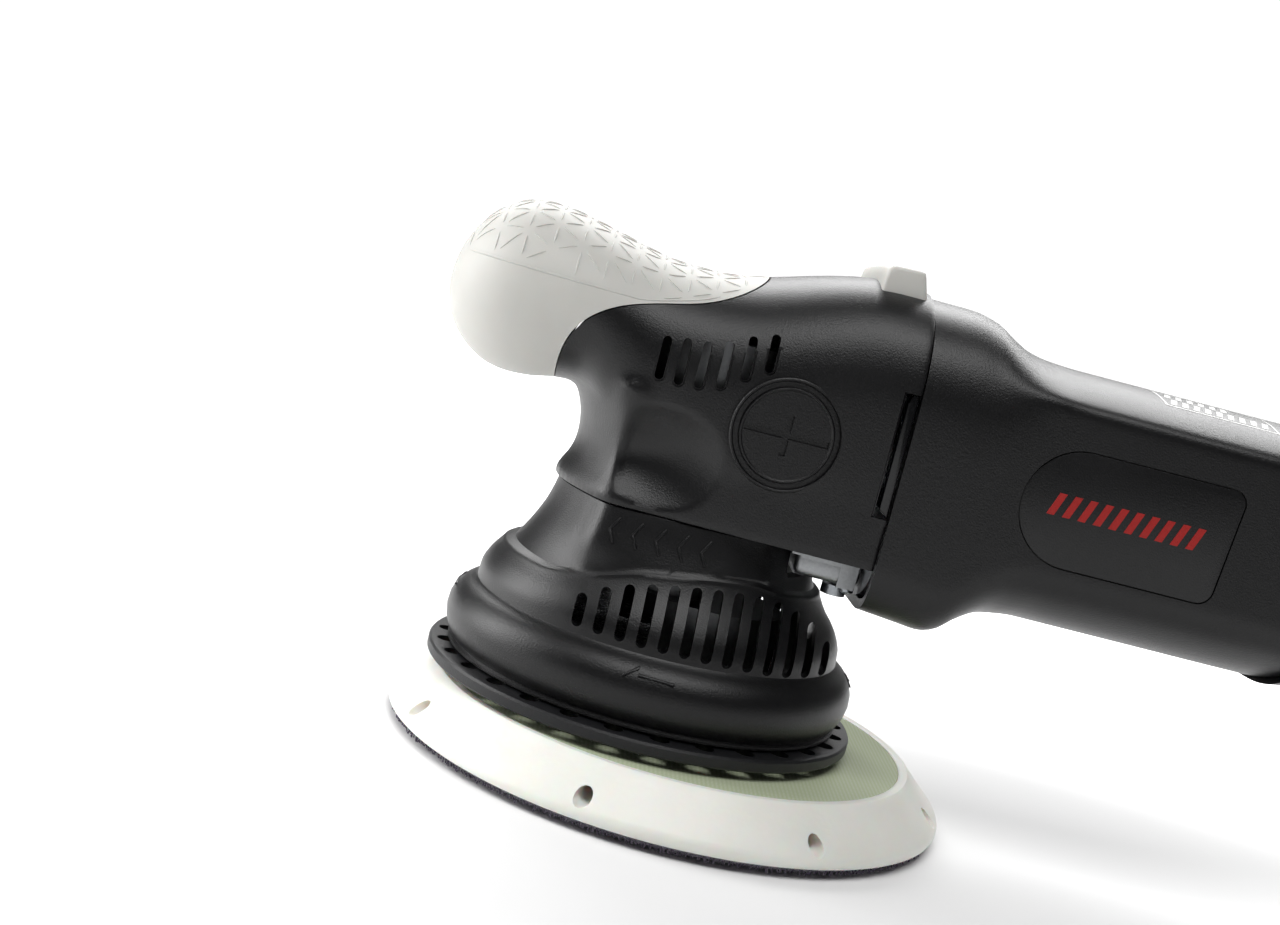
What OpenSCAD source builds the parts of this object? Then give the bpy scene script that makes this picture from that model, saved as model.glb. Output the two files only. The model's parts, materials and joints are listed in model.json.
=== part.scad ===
// Dual action polisher with a 150 mm backing plate. Millimetres.
// Z runs up the main spindle from the hook face, X runs back along the body.

/* [Backing plate] */
// Outside diameter of the backing plate
pad_d = 150; // [125:1:180]
// Height of the plate's top face over the hook face
pad_h = 14.4; // [10:0.1:20]
// Diameter of the plate's top face
pad_top_d = 128.6; // [100:0.2:150]
// Orbit, the width of the circle the plate's centre runs on
orbit_d = 21; // [8:0.5:25]
// Vent holes round the plate's edge
pad_vents = 8; // [6:1:24]

/* [Guard and shroud] */
// Outside diameter of the perforated guard ring
guard_d = 115; // [100:0.5:140]
// Underside of the guard ring
guard_z = 16.4; // [15:0.1:22]
// Thickness of the guard ring
guard_t = 3.5; // [2:0.1:6]
// Holes in the guard ring
guard_holes = 30; // [12:1:40]
// Top of the shroud, where the head cover begins
shroud_top = 68.5; // [60:0.5:80]
// Vent slots on each side of the shroud
shroud_slots = 13; // [6:1:16]

/* [Head] */
// Half width of the head cover at its back edge
head_w = 38.3; // [34:0.1:44]
// Radius of the neck round the spindle
neck_r = 35.5; // [30:0.1:40]
// Top of the head cover
head_top = 138; // [125:0.5:150]
// Back edge of the head cover
seam_x = 45.4; // [40:0.1:55]
// Wall of the plastic covers
wall = 2.6; // [1.6:0.1:4]
// Thickness of the rubber grip
rubber = 2.4; // [1.5:0.1:4]
// Radius of the rounded nose of the grip
nose_r = 22.5; // [18:0.1:28]
// Radius of the screw-in side plugs
plug_r = 10.8; // [8:0.1:14]

/* [Motor and handle] */
// Height of the motor axis over the hook face
axis_z = 94.5; // [85:0.5:105]
// Half width of the motor barrel
barrel_w = 36; // [32:0.1:42]
// Lowest line of the motor barrel
barrel_lo = 61.5; // [55:0.1:70]
// Highest line of the motor barrel
barrel_hi = 128; // [120:0.1:140]
// Back end of the handle
handle_end = 348; // [300:1:380]
// Half width of the handle's grip
handle_w = 27.5; // [22:0.1:34]

/* [Drive] */
// Radius of the main spindle
spindle_r = 6; // [5:0.1:8]
// Radius of the motor shaft
shaft_r = 4; // [3:0.1:6]
// Teeth on the ring gear
ring_teeth = 36; // [24:1:48]
// Teeth on the pinion
pinion_teeth = 8; // [6:1:12]
// Largest radius the counterweight sweeps
weight_r = 44.5; // [36:0.1:45]

/* [View] */
// Sub-part to show, or all of them

/* [Hidden] */
$fa = 4;
$fs = 0.8;
offset_x = orbit_d / 2;
pitch_r = 4.5;
gear_z = axis_z - pitch_r;
fit_gap = 0.05;
air = 0.4;
bearing_w = 7;
bearing_r = 11;
seal_z = 27;
hub_top = 46;
seam_arc_r = 60;
slot_x0 = -21.3;
slot_pitch = 63.6 / (shroud_slots - 1);
eps = 0.01;

// ---- shared shapes ----

// Quarter ellipses joined into a closed section, symmetric about the middle.
function corner(cx, cy, rx, ry, a0) =
    [for (i = [0:8]) [cx + rx * cos(a0 + i * 11.25), cy + ry * sin(a0 + i * 11.25)]];
function round_box(w, lo, hi, tx, tz, bx, bz) = concat(
    corner(w - bx, lo + bz, bx, bz, 270), corner(w - tx, hi - tz, tx, tz, 0),
    corner(tx - w, hi - tz, tx, tz, 90), corner(bx - w, lo + bz, bx, bz, 180));

module along_x(x0, len) {
    translate([x0, 0, 0]) rotate([90, 0, 90]) linear_extrude(len) children();
}

module along_y(w) {
    translate([0, w / 2, 0]) rotate([90, 0, 0]) linear_extrude(w) children();
}

module rod_x(r, x0, x1) {
    translate([x0, 0, axis_z]) rotate([0, 90, 0]) cylinder(r = r, h = x1 - x0);
}

module rod_z(r, z0, z1) {
    translate([0, 0, z0]) cylinder(r = r, h = z1 - z0);
}

module tube_z(ro, ri, z0, z1) {
    difference() {
        rod_z(ro, z0, z1);
        rod_z(ri, z0 - 1, z1 + 1);
    }
}

module tube_x(ro, ri, x0, x1) {
    difference() {
        rod_x(ro, x0, x1);
        rod_x(ri, x0 - 1, x1 + 1);
    }
}

module on_plate_axis() {
    translate([offset_x, 0, 0]) children();
}

module both_sides() {
    children();
    mirror([0, 1, 0]) children();
}

// Slot with round ends, standing up and cut through a wall facing y.
module slot_y(x, z0, z1, w, depth) {
    translate([x, 0, 0]) rotate([90, 0, 0]) linear_extrude(depth) {
        translate([-w / 2, z0 + w / 2]) square([w, z1 - z0 - w]);
        translate([0, z0 + w / 2]) circle(r = w / 2);
        translate([0, z1 - w / 2]) circle(r = w / 2);
    }
}

// ---- backing plate, turns on the eccentric ----

module hook_face() {
    color("#3a3346") on_plate_axis() tube_z(pad_d / 2 - 0.8, 12, 0, 2);
}

module foam_plate() {
    r = pad_d / 2;
    color("#e9e7da") on_plate_axis() difference() {
        rotate_extrude() polygon([
            [12, 2], [r - 0.8, 2], [r, 3], [r, 4.4], [r - 1, 6.4],
            [pad_top_d / 2 + 1, pad_h - 0.8], [pad_top_d / 2, pad_h], [62.2, pad_h],
            [62.2, pad_h - 2], [12, pad_h - 2]]);
        for (i = [0:pad_vents - 1]) rotate([0, 0, 28 + i * 360 / pad_vents])
            translate([r - 24, 0, 7.4]) rotate([0, 90, 0]) cylinder(r = 1.9, h = 30);
    }
}

module fibreglass_disc() {
    color("#cfe0b4") on_plate_axis() tube_z(62, 9.4, pad_h - 1.98, pad_h + 0.02);
}

module plate_washer() {
    color("#b9bcc0") on_plate_axis() tube_z(11.8, 4.3, 8.4, 12.3);
}

module plate_bolt() {
    color("#8f9296") on_plate_axis() difference() {
        union() {
            rod_z(7.5, 3.4, 8.3);
            rod_z(3.95, 8.3, 28);
        }
        translate([0, 0, 3]) cylinder(r = 3.46, h = 3.6, $fn = 6);
    }
}

module pad_spindle() {
    color("#c3c6ca") on_plate_axis() difference() {
        union() {
            difference() {
                rod_z(9.2, pad_h - 2, 26.4);
                for (s = [-1, 1]) translate([s > 0 ? 7.6 : -17.6, -12, 19]) cube([10, 24, 5]);
            }
            rod_z(5, 26.4, 45);
        }
        rod_z(4, pad_h - 3, 32);
    }
}

// ---- eccentric drive, turns on the main spindle ----

module hub_body() {
    on_plate_axis() difference() {
        rod_z(22, seal_z - 0.5, hub_top);
        rod_z(13, seal_z - 1, 45.6);
    }
    rod_z(13.5, hub_top, 56.5);
}

module weight_screw_spots() {
    for (p = [[-2, 13.4], [-7.5, 0], [-2, -13.4]]) translate(p) children();
}

module eccentric_hub() {
    color("#aeb2b6") difference() {
        hub_body();
        rod_z(spindle_r + fit_gap, 47.5, 60);
        weight_screw_spots() rod_z(2, 20, 40);
    }
}

module eccentric_bearings() {
    color("#9da1a6") on_plate_axis() for (z = [29.2, 37.4]) difference() {
        tube_z(12.95, 5.05, z, z + 8);
        for (e = [-1, 7.2]) tube_z(10.9, 7.2, z + e, z + e + 1.8);
    }
}

module bearing_seal() {
    color("#17181a") on_plate_axis() tube_z(12.95, 9.4, seal_z - 0.3, 29);
}

module weight_plan() {
    intersection() {
        circle(r = weight_r);
        polygon([[5, 24], [3.5, 29.5], [0, 32], [-38, 25], [-60, 22],
                 [-60, -22], [-38, -25], [0, -32], [3.5, -29.5], [5, -24]]);
    }
}

module counterweight() {
    color("#b4b5b2") difference() {
        union() {
            translate([0, 0, 22.6]) linear_extrude(3.8) weight_plan();
            difference() {
                translate([0, 0, 20.6]) linear_extrude(20.6) weight_plan();
                translate([8, 0, 19]) cylinder(r = 32.6, h = 7.4);
                on_plate_axis() rod_z(22.6, 19, 50);
            }
        }
        on_plate_axis() rod_z(14.4, 19, 30);
        weight_screw_spots() rod_z(2.1, 20, 30);
        weight_screw_spots() rod_z(4.1, 20, 23.8);
        translate([-2, -40, 26.4]) cube([40, 80, 30]);
    }
}

module counterweight_screws() {
    color("#d2d3d0") weight_screw_spots() difference() {
        union() {
            rod_z(3.7, 21.8, 23.8);
            rod_z(1.95, 23.8, 39);
        }
        for (a = [20, 110]) rotate([0, 0, a]) translate([-2.2, -0.5, 21]) cube([4.4, 1, 2]);
    }
}

module drive_spindle() {
    color("#c9ccd0") {
        rod_z(spindle_r, 47.6, 98);
        rod_z(7.4, 68.6, 78.4);
        rod_z(shaft_r, 98, 110.1);
    }
}

module ring_gear() {
    color("#83878b") difference() {
        union() {
            rod_z(10.4, 79, 84);
            rod_z(22.4, 84, gear_z - 1.3);
            for (i = [0:ring_teeth - 1]) rotate([0, 0, i * 360 / ring_teeth])
                translate([17.8, -0.5, gear_z - 1.5]) cube([4.4, 1, 2.4]);
        }
        rod_z(spindle_r + fit_gap, 70, 100);
        translate([spindle_r - 1.4, -1.5, 70]) cube([3, 3, 12.6]);
    }
}

module gear_key() {
    color("#6f7276") translate([spindle_r + fit_gap + eps, -1.45, 79]) cube([1.5, 2.9, 3.5]);
}

module retaining_ring() {
    color("#4d5054") difference() {
        tube_z(8.6, spindle_r + fit_gap, 91.2, 92.4);
        translate([-14, -1.6, 90]) cube([9, 3.2, 4]);
    }
}

// ---- guard ring and shroud ----

module guard_ring() {
    r = guard_d / 2;
    color("#1c1d1f") difference() {
        union() {
            tube_z(r, r * 0.80, guard_z, guard_z + guard_t);
            tube_z(r * 0.845, r * 0.80, guard_z + guard_t - eps, guard_z + guard_t + 2.5);
        }
        for (i = [0:guard_holes - 1]) rotate([0, 0, 178.6 + i * 360 / guard_holes])
            translate([r * 0.925, 0, guard_z - 1]) cylinder(r = 2.4, h = 8);
    }
}

module shroud_outline() {
    polygon([
        [46.9, 22.6], [50.5, 22.6], [50.5, 20.1], [52.2, 20.2], [53.9, 22.6], [54.7, 25.4], [55, 28.6], [54.5, 31.6],
        [53, 34.3], [50.9, 36.4], [48.9, 37.6], [48.4, 39.6], [48.1, 42.4], [47.2, 45.8],
        [45.4, 49], [42.8, 51.8], [40.6, 54], [38.6, 56.2], [36.8, 58], [35.6, 60],
        [34.9, 62.6], [34.6, 65.4], [34.6, shroud_top],
        [29.5, shroud_top], [29.5, shroud_top - 2.4], [31.9, shroud_top - 2.4],
        [32, 61], [33.2, 58.2], [35.4, 55.2], [38, 52.4],
        [41, 49.6], [43.6, 46.2], [45.2, 42.6], [45.6, 38.6], [46.9, 34]]);
}

module shroud() {
    color("#1b1c1e") difference() {
        rotate_extrude() shroud_outline();
        both_sides() for (i = [0:shroud_slots - 1])
            slot_y(slot_x0 + i * slot_pitch, 39.3, 45 + 6.5 * sin(25 + i * 11), 2.4, 70);
        translate([27, -24.3, 60]) cube([12, 48.6, 14]);
    }
}

module shroud_screws() {
    color("#7b7e82") for (a = [60, 120, 240, 300]) rotate([0, 0, a]) translate([24.6, 0, 0]) {
        rod_z(1.9, 58.4, 66);
        rod_z(3.4, 56.6, 58.4);
    }
}

// ---- gearbox ----

module lower_bearing() {
    color("#a3a7ab") difference() {
        tube_z(15.95, spindle_r + fit_gap, 58.2, 68.2);
        for (z = [57.2, 67.4]) tube_z(13.6, 8.4, z, z + 1.8);
    }
}

module upper_bearing() {
    color("#a3a7ab") difference() {
        tube_z(bearing_r - fit_gap, shaft_r + fit_gap, 103, 103 + bearing_w);
        for (z = [102.2, 109.2]) tube_z(9.2, 5.6, z, z + 1.6);
    }
}

module gearbox_housing() {
    color("#a9adb0") difference() {
        union() {
            rod_z(27.4, 72.6, 113.6);
            rod_z(14, 113, 115.6);
            rod_x(17.5, 20, 46);
            intersection() {
                along_x(45.7, 4.6) polygon(round_box(35.5, 58.6, 132.4, 22, 14, 22, 12));
                rod_x(60, 40, 60);
            }
            translate([20, -21, 72.6]) cube([28, 42, 10]);
        }
        rod_z(23.4, 71, 99.2);
        rod_z(bearing_r, 98, 110.2);
        rod_x(7, 10, 60);
        rod_x(bearing_r, 33, 41.2);
        rod_x(15, 41, 60);
        for (s = [-1, 1]) translate([47, s * 29, 120]) rotate([0, 90, 0])
            cylinder(r = 2, h = 8, center = true);
        for (s = [-1, 1]) translate([47, s * 29, 69]) rotate([0, 90, 0])
            cylinder(r = 2, h = 8, center = true);
        gearbox_screw_spots() rod_z(1.9, 66, 78);
    }
}

module gearbox_screw_spots() {
    for (a = [45, 135, 225, 315]) rotate([0, 0, a]) translate([25.3, 0, 0]) children();
}

module gearbox_cap() {
    color("#b4b7b9") difference() {
        union() {
            rod_z(20, 57.4, 69);
            rod_z(28.4, 66.2, 72.4);
            translate([27.2, -24, 60.4]) cube([17.4, 48, 8]);
        }
        rod_z(15.95 + fit_gap, 58.2, 68.3);
        rod_z(13, 50, 80);
        gearbox_screw_spots() rod_z(1.95, 50, 78);
        gearbox_screw_spots() rod_z(3.5, 50, 66.3);
        for (a = [60, 120, 240, 300]) rotate([0, 0, a]) translate([24.6, 0, 0]) {
            rod_z(1.95, 50, 68);
            rod_z(3.6, 50, 58.5);
        }
        difference() {
            translate([20, -30, 56]) cube([20, 60, 9.6]);
            rod_z(35, 50, 80);
        }
        difference() {
            rod_z(80, 50, 66.1);
            rod_z(28.4, 49, 67);
            translate([29.6, -24, 49]) cube([40, 48, 30]);
        }
    }
}

module gearbox_screws() {
    color("#7b7e82") gearbox_screw_spots() {
        rod_z(1.85, 66.2, 77);
        rod_z(3.3, 64, 66.2);
    }
    color("#7b7e82") for (s = [-1, 1]) translate([40.4, s * 19, 0]) {
        rod_z(3.2, 57.8, 60.4);
    }
}

// ---- head cover, grip and trim ----

function neck_front() = [
    [-33.2, 68.7], [-35.3, 70.4], [-34.4, 73.4], [-33, 77.4], [-32.4, 81.6], [-32.8, 85.6],
    [-34.2, 89.6], [-36.6, 93.2], [-42, 96]];
function head_crown() = [
    [-42, 126], [-30, 130.6], [-20, 129.3], [-9, 129.2], [0, 130.4], [9, 132.3], [17, 135],
    [25, 137.2], [33, head_top], [seam_x, head_top - 0.6], [seam_x, 68.7]];

module head_form(t) {
    intersection() {
        along_y(100) offset(delta = -t) polygon(concat(neck_front(), head_crown()));
        along_x(-60, 120) polygon(round_box(head_w - t, 60, head_top + 0.2 - t, 17, 14, 4, 4));
        translate([0, 0, 50]) linear_extrude(100) offset(delta = -t) polygon(concat(
            [for (i = [0:16]) neck_r * [cos(94 + i * 10.75), sin(94 + i * 10.75)]],
            [[seam_x + 5, -head_w], [seam_x + 5, head_w]]));
    }
}

module nose_cap(t) {
    r = nose_r - t;
    translate([-51.3, 0, 113.6]) rotate([90, 0, 0]) rotate_extrude() polygon(concat(
        [for (i = [0:12]) [r * sin(i * 7.5), 8 + r * cos(i * 7.5)]],
        [for (i = [12:-1:0]) [r * sin(i * 7.5), -8 - r * cos(i * 7.5)]]));
}

module nose_form(t) {
    nose_cap(t);
    along_x(-51.3, 33) polygon(round_box(29.5 - t, 92.6 + t, 132.2 - t, 19, 17, 17, 16));
}

module grip_region() {
    along_y(120) polygon([
        [-41.4, 70], [-41.4, 98], [-40.4, 104], [-37.4, 109], [-32.6, 113], [-25.5, 116.3],
        [-12.9, 119.4], [-7.6, 121.2], [-1.1, 124.6], [4, 128.4], [9, 134], [9, 150],
        [-90, 150], [-90, 70]]);
}

module skin(t) {
    head_form(t);
    nose_form(t);
}

module head_cover() {
    color("#1d1e20") difference() {
        head_form(0);
        difference() {
            grip_region();
            head_form(rubber);
        }
        head_form(rubber + wall);
        translate([0, 0, 60]) cylinder(r = 29.6, h = 20);
        along_x(10, 60) polygon(round_box(head_w - 4.8, 60, head_top - 5.4, 15, 12, 4, 4));
        both_sides() {
            for (i = [0:5]) slot_y(-17.6 + i * 5.1, 100.4 + max(0, i - 2) * 2.6,
                110.8 + max(0, i - 2) * 2.1, 2.2, 60);
            translate([15.7, -30, 95.3]) rotate([90, 0, 0]) cylinder(r = plug_r + 0.3, h = 20);
            translate([41, -50, 81.4]) cube([10, 13.2, 31]);
        }
        translate([33.4, -18.1, head_top - 1.6]) cube([20, 36.2, 10]);
    }
}

module grip_frame() {
    color("#26272a") difference() {
        nose_cap(rubber + 0.04);
        nose_cap(rubber + wall);
        translate([-42.1, -50, 80]) cube([60, 100, 70]);
    }
}

module front_grip() {
    color("#f1efe9") difference() {
        intersection() {
            skin(0);
            grip_region();
        }
        head_form(rubber - 0.02);
        nose_form(rubber + 0.02);
    }
}

module rest_bumper() {
    color("#f4f2ec") intersection() {
        translate([33.6, -18, head_top - 1.5]) cube([12.8, 36, 5.9]);
        along_y(60) polygon([[33, 130], [33, 139.4], [36.4, 142.3], [46.6, 142.3], [46.6, 130]]);
    }
}

module side_plugs() {
    color("#191a1c") both_sides() difference() {
        translate([15.7, -33.6, 95.3]) rotate([90, 0, 0]) cylinder(r = plug_r, h = 4.4);
        translate([15.7 - 9.4, -40, 95.3 - 0.9]) cube([18.8, 3.2, 1.8]);
        translate([15.7 - 0.9, -40, 95.3 - 5]) cube([1.8, 3.2, 10]);
    }
}

module latch_clips() {
    color("#101112") both_sides() translate([41.3, -38.1, 81.8]) {
        cube([3.6, 1.2, 30.2]);
        translate([1.8, 0, 13]) cube([1.8, 1.3, 4]);
    }
}

// ---- motor ----

module motor_shaft() {
    color("#c9ccd0") {
        rod_x(shaft_r, 24.6, 158);
        rod_x(5.6, 41.2, 66);
        rod_x(5.6, 122, 131);
    }
}

function tooth_points(n, r0, r1, half) = [for (i = [0:n - 1], p = [[half, r0], [half * 0.6, r1],
    [-half * 0.6, r1], [-half, r0]]) let (a = 180 + (i + 0.5) * 360 / n)
    [p[0] * cos(a) - p[1] * sin(a), p[0] * sin(a) + p[1] * cos(a)]];

module pinion() {
    color("#8d9195") translate([0, 0, axis_z]) {
        rotate([90, 0, 90]) translate([0, 0, 17.9]) linear_extrude(4.5)
            polygon(tooth_points(pinion_teeth, 3.1, 5.5, 0.72));
        translate([22.3, 0, 0]) rotate([0, 90, 0]) cylinder(r = 4.6, h = 2.3);
    }
}

module cooling_fan() {
    color("#3b3d40") {
        tube_x(8, 5.65, 53, 64);
        tube_x(28, 5.65, 61.6, 63.6);
        for (i = [0:10]) translate([0, 0, axis_z]) rotate([i * 360 / 11, 0, 0])
            translate([54, 7.5, -0.8]) cube([8, 19.5, 1.6]);
    }
}

module armature_core() {
    color("#6b6e72") difference() {
        tube_x(17, shaft_r + 0.01, 78, 119);
        for (i = [0:11]) translate([0, 0, axis_z]) rotate([i * 30 + 15, 0, 0])
            translate([77, -1, 10.5]) cube([43, 2, 7]);
    }
}

module armature_windings() {
    color("#a8622c") {
        tube_x(15, 5.8, 68, 77.9);
        tube_x(15, 5.8, 119.1, 128);
        for (i = [0:11]) translate([0, 0, axis_z]) rotate([i * 30 + 15, 0, 0])
            translate([77.5, -0.9, 10.7]) cube([42, 1.8, 4.2]);
    }
}

module commutator() {
    color("#b87333") difference() {
        tube_x(11.4, shaft_r + 0.01, 132, 146);
        for (i = [0:23]) translate([0, 0, axis_z]) rotate([i * 15, 0, 0])
            translate([131, -0.3, 10.6]) cube([16, 0.6, 2]);
    }
}

module motor_front_bearing() {
    color("#a3a7ab") difference() {
        tube_x(bearing_r - fit_gap, shaft_r + fit_gap, 34, 41);
        for (x = [33, 40.4]) tube_x(9.2, 5.9, x, x + 1.6);
    }
}

module motor_rear_bearing() {
    color("#a3a7ab") difference() {
        tube_x(bearing_r - fit_gap, shaft_r + fit_gap, 150, 157);
        for (x = [149, 156.4]) tube_x(9.2, 5.9, x, x + 1.6);
    }
}

module bearing_bush() {
    color("#222325") tube_x(13.2, bearing_r, 149.6, 158.6);
}

module bearing_carrier() {
    color("#2b2c2f") difference() {
        union() {
            tube_x(16, 13.25, 149, 160);
            tube_x(30.2, 15.5, 149, 152);
        }
        for (i = [0:7]) translate([0, 0, axis_z]) rotate([i * 45 + 22.5, 0, 0])
            translate([148, 0, 23.4]) rotate([0, 90, 0]) cylinder(r = 5.4, h = 6);
    }
}

module stator_core() {
    color("#7a7d80") difference() {
        rod_x(30, 78, 119);
        rod_x(17 + air, 70, 130);
        for (s = [-1, 1]) translate([98.5, s * 21, axis_z]) cube([50, 12, 19], center = true);
    }
}

module stator_windings() {
    color("#9c5a2a") for (s = [-1, 1]) {
        difference() {
            union() {
                tube_x(27.4, 18.6, 69, 77.9);
                tube_x(27.4, 18.6, 119.1, 128);
            }
            translate([60, s > 0 ? -40 : 0, 50]) cube([80, 40, 90]);
            translate([60, -40, axis_z + 14]) cube([80, 80, 40]);
            translate([60, -40, axis_z - 54]) cube([80, 80, 40]);
        }
        translate([76.9, s > 0 ? 18.6 : -25.6, axis_z - 8]) cube([43.2, 7, 16]);
    }
}

module fan_baffle() {
    color("#2b2c2f") tube_x(31.4, 19.6, 66, 68);
}

module brush_holders() {
    color("#c9a24a") both_sides() difference() {
        translate([133.6, -32, axis_z - 6]) cube([10.8, 18, 12]);
        translate([134.8, -33, axis_z - 4.2]) cube([8.4, 20, 8.4]);
    }
}

module carbon_brushes() {
    color("#37383b") both_sides() difference() {
        translate([135, -23, axis_z - 4]) cube([8, 13, 8]);
        rod_x(11.4 + air, 130, 148);
    }
}

module brush_springs() {
    color("#b8bcc0") both_sides() for (i = [0:4])
        translate([139, -24 - i * 1.7, axis_z]) rotate([90, 0, 0])
            rotate_extrude() translate([2.6, 0]) circle(r = 0.55);
}

function barrel(t) = round_box(barrel_w - t, barrel_lo + t, barrel_hi - t, 19 - t, 9.6 - t / 2,
    27 - t, 15 - t);
function flange(t) = round_box(38.6 - t, 55.3 + t, 136 - t, 24 - t, 15 - t, 26 - t, 14 - t);

module motor_form(t) {
    along_x(seam_x + 0.2, 17) polygon(flange(t));
    hull() {
        along_x(seam_x + 14, 4) polygon(flange(t));
        along_x(80, 2) polygon(barrel(t));
    }
    along_x(80, 84) polygon(barrel(t));
}

// The back edge of the motor housing bows towards the handle.
module seam_region(gap) {
    along_y(120) polygon(concat([[0, 20], [134, 20]],
        [for (i = [0:20]) [102 + gap + seam_arc_r * cos(i * 4.5 - 33), 94 + seam_arc_r * sin(i * 4.5 - 33)]],
        [[150, 160], [0, 160]]));
}

module motor_housing() {
    color("#1d1e20") difference() {
        intersection() {
            motor_form(0);
            seam_region(0);
        }
        difference() {
            motor_form(wall);
            tube_x(40, 30.1, 90, 94);
            tube_x(40, 30.1, 106, 110);
            tube_x(40, 30.25, 148.8, 152.2);
        }
        along_x(40, 10.6) polygon(flange(2.2));
        both_sides() badge_pocket();
        translate([108, -26, barrel_hi - 0.5]) cube([30, 52, 4]);
    }
}

module badge_plan(r) {
    offset(r = r) polygon(concat(
        [for (i = [0:12]) [90 + 10.5 * cos(90 + i * 15), 94.8 + 10.5 * sin(90 + i * 15)]],
        [[122, 84.3], [124, 86], [125, 103], [123, 105.3]]));
}

module badge_pocket() {
    translate([0, -barrel_w + 0.8, 0]) rotate([90, 0, 0]) linear_extrude(4) badge_plan(4);
}

module side_badges() {
    color("#141517") both_sides() translate([0, -barrel_w + 0.78, 0]) rotate([90, 0, 0])
        linear_extrude(0.9) badge_plan(3.8);
}

module top_label() {
    color("#2a2b2d") translate([108.3, -15, barrel_hi - 0.48]) cube([29.4, 30, 0.46]);
}

module housing_screws() {
    color("#7b7e82") for (s = [-1, 1], z = [69, 120]) translate([50.4, s * 29, z])
        rotate([0, 90, 0]) {
            cylinder(r = 3.2, h = 2.4);
            translate([0, 0, -5]) cylinder(r = 1.9, h = 5);
        }
}

// ---- handle ----

function grip_cut(t) = round_box(handle_w - t, 69.5 + t, 121.5 - t, 20 - t, 20 - t, 20 - t, 20 - t);
function tail_cut(t) = round_box(28 - t, 66 + t, 117 - t, 20 - t, 18 - t, 20 - t, 18 - t);
function heel_cut(t) = round_box(31 - t, 62.4 + t, 117 - t, 20 - t, 18 - t, 14 - t, 12 - t);

module handle_form(t) {
    hull() {
        along_x(150, 1) polygon(barrel(t));
        along_x(200, 1) polygon(grip_cut(t));
    }
    hull() {
        along_x(200, 1) polygon(grip_cut(t));
        along_x(300, 1) polygon(tail_cut(t));
    }
    hull() {
        along_x(300, 1) polygon(tail_cut(t));
        along_x(334, 4) polygon(heel_cut(t));
        along_x(handle_end - 1 - t, 1) polygon(round_box(26 - t, 68 + t, 112 - t, 18 - t, 16 - t,
            14 - t, 12 - t));
    }
    along_x(126, 25) polygon(barrel(t));
}

module handle_shell() {
    difference() {
        handle_form(0);
        handle_form(wall);
        seam_region(0.3);
        translate([0, -100, 0]) cube([400, 100, 200]);
        translate([187, -12.4, 55]) cube([78.4, 24.8, 34]);
        translate([handle_end - 20, 0, 92]) rotate([0, 90, 0]) cylinder(r = 8.6, h = 40);
        translate([302, -4.2, 105]) cube([21, 8.4, 30]);
        for (i = [0:6]) translate([166 + i * 4.4, 10, 84]) cube([2, 40, 20]);
        handle_screw_spots() translate([0, 0, -60]) cylinder(r = 1.7, h = 70);
        translate([276, 10, 96]) rotate([-90, 0, 0]) cylinder(r = 6.3, h = 40);
    }
    handle_posts();
}

module handle_screw_spots() {
    for (p = [[196, 112], [272, 76], [290, 106], [330, 104]])
        translate([p[0], 0, p[1]]) rotate([90, 0, 0]) children();
}

module handle_posts() {
    difference() {
        intersection() {
            handle_screw_spots() translate([0, 0, -60]) cylinder(r = 4, h = 60);
            handle_form(wall - 0.4);
        }
        handle_screw_spots() translate([0, 0, -61]) cylinder(r = 1.7, h = 62);
    }
}

module handle_left() {
    color("#1b1c1e") mirror([0, 1, 0]) handle_shell();
}

module handle_right() {
    color("#1b1c1e") handle_shell();
}

module handle_screws() {
    color("#8f9296") intersection() {
        handle_form(0.4);
        handle_screw_spots() translate([0, 0, -22]) {
            cylinder(r = 1.6, h = 44);
        }
    }
}

module switch_module() {
    color("#2a2c33") difference() {
        translate([206, -11, 90]) cube([40, 22, 24]);
        translate([210, -12, 110]) cube([3, 24, 5]);
    }
    color("#c9402e") translate([222, -4, 86.4]) cube([8, 8, 3.6]);
}

module speed_module() {
    color("#2f5d3a") translate([297, -12, 84]) cube([30, 24, 2]);
    color("#1d1e20") translate([300, -7, 86.01]) cube([10, 14, 9]);
    color("#b9bcc0") translate([313, -8, 86.01]) cube([10, 16, 7]);
}

module cable_gland() {
    color("#141517") translate([0, 0, 92]) rotate([0, 90, 0]) difference() {
        union() {
            translate([0, 0, handle_end - 10]) cylinder(r = 8.4, h = 16);
            translate([0, 0, handle_end - 8]) cylinder(r = 10.6, h = 4);
            translate([0, 0, handle_end + 2]) cylinder(r = 10.2, h = 4);
        }
        translate([0, 0, handle_end - 20]) cylinder(r = 4.2, h = 40);
    }
}

// ---- controls ----

module trigger() {
    color("#232427") difference() {
        along_y(23.6) polygon([[189, 79], [188.4, 72], [190, 64.6], [197, 61], [212, 60.2],
            [232, 61.6], [250, 60.4], [260, 61.4], [264, 66], [263.4, 73], [256, 76], [232, 76],
            [230, 80], [222, 80], [218, 76.6], [198, 77], [194, 80]]);
        translate([192.6, 0, 75]) rotate([90, 0, 0]) cylinder(r = 2.06, h = 40, center = true);
        translate([200, -9.4, 64.6]) cube([58, 18.8, 30]);
    }
    color("#232427") translate([223, -3, 64.4]) cube([6, 6, 15]);
}

module trigger_pin() {
    color("#b9bcc0") translate([192.6, 0, 75]) rotate([90, 0, 0])
        cylinder(r = 2, h = 34, center = true);
}

module lock_button() {
    color("#b3261e") translate([276, 14, 96]) rotate([-90, 0, 0]) {
        cylinder(r = 6, h = 15.6);
        translate([0, 0, -1.6]) cylinder(r = 7.4, h = 3);
    }
}

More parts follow.
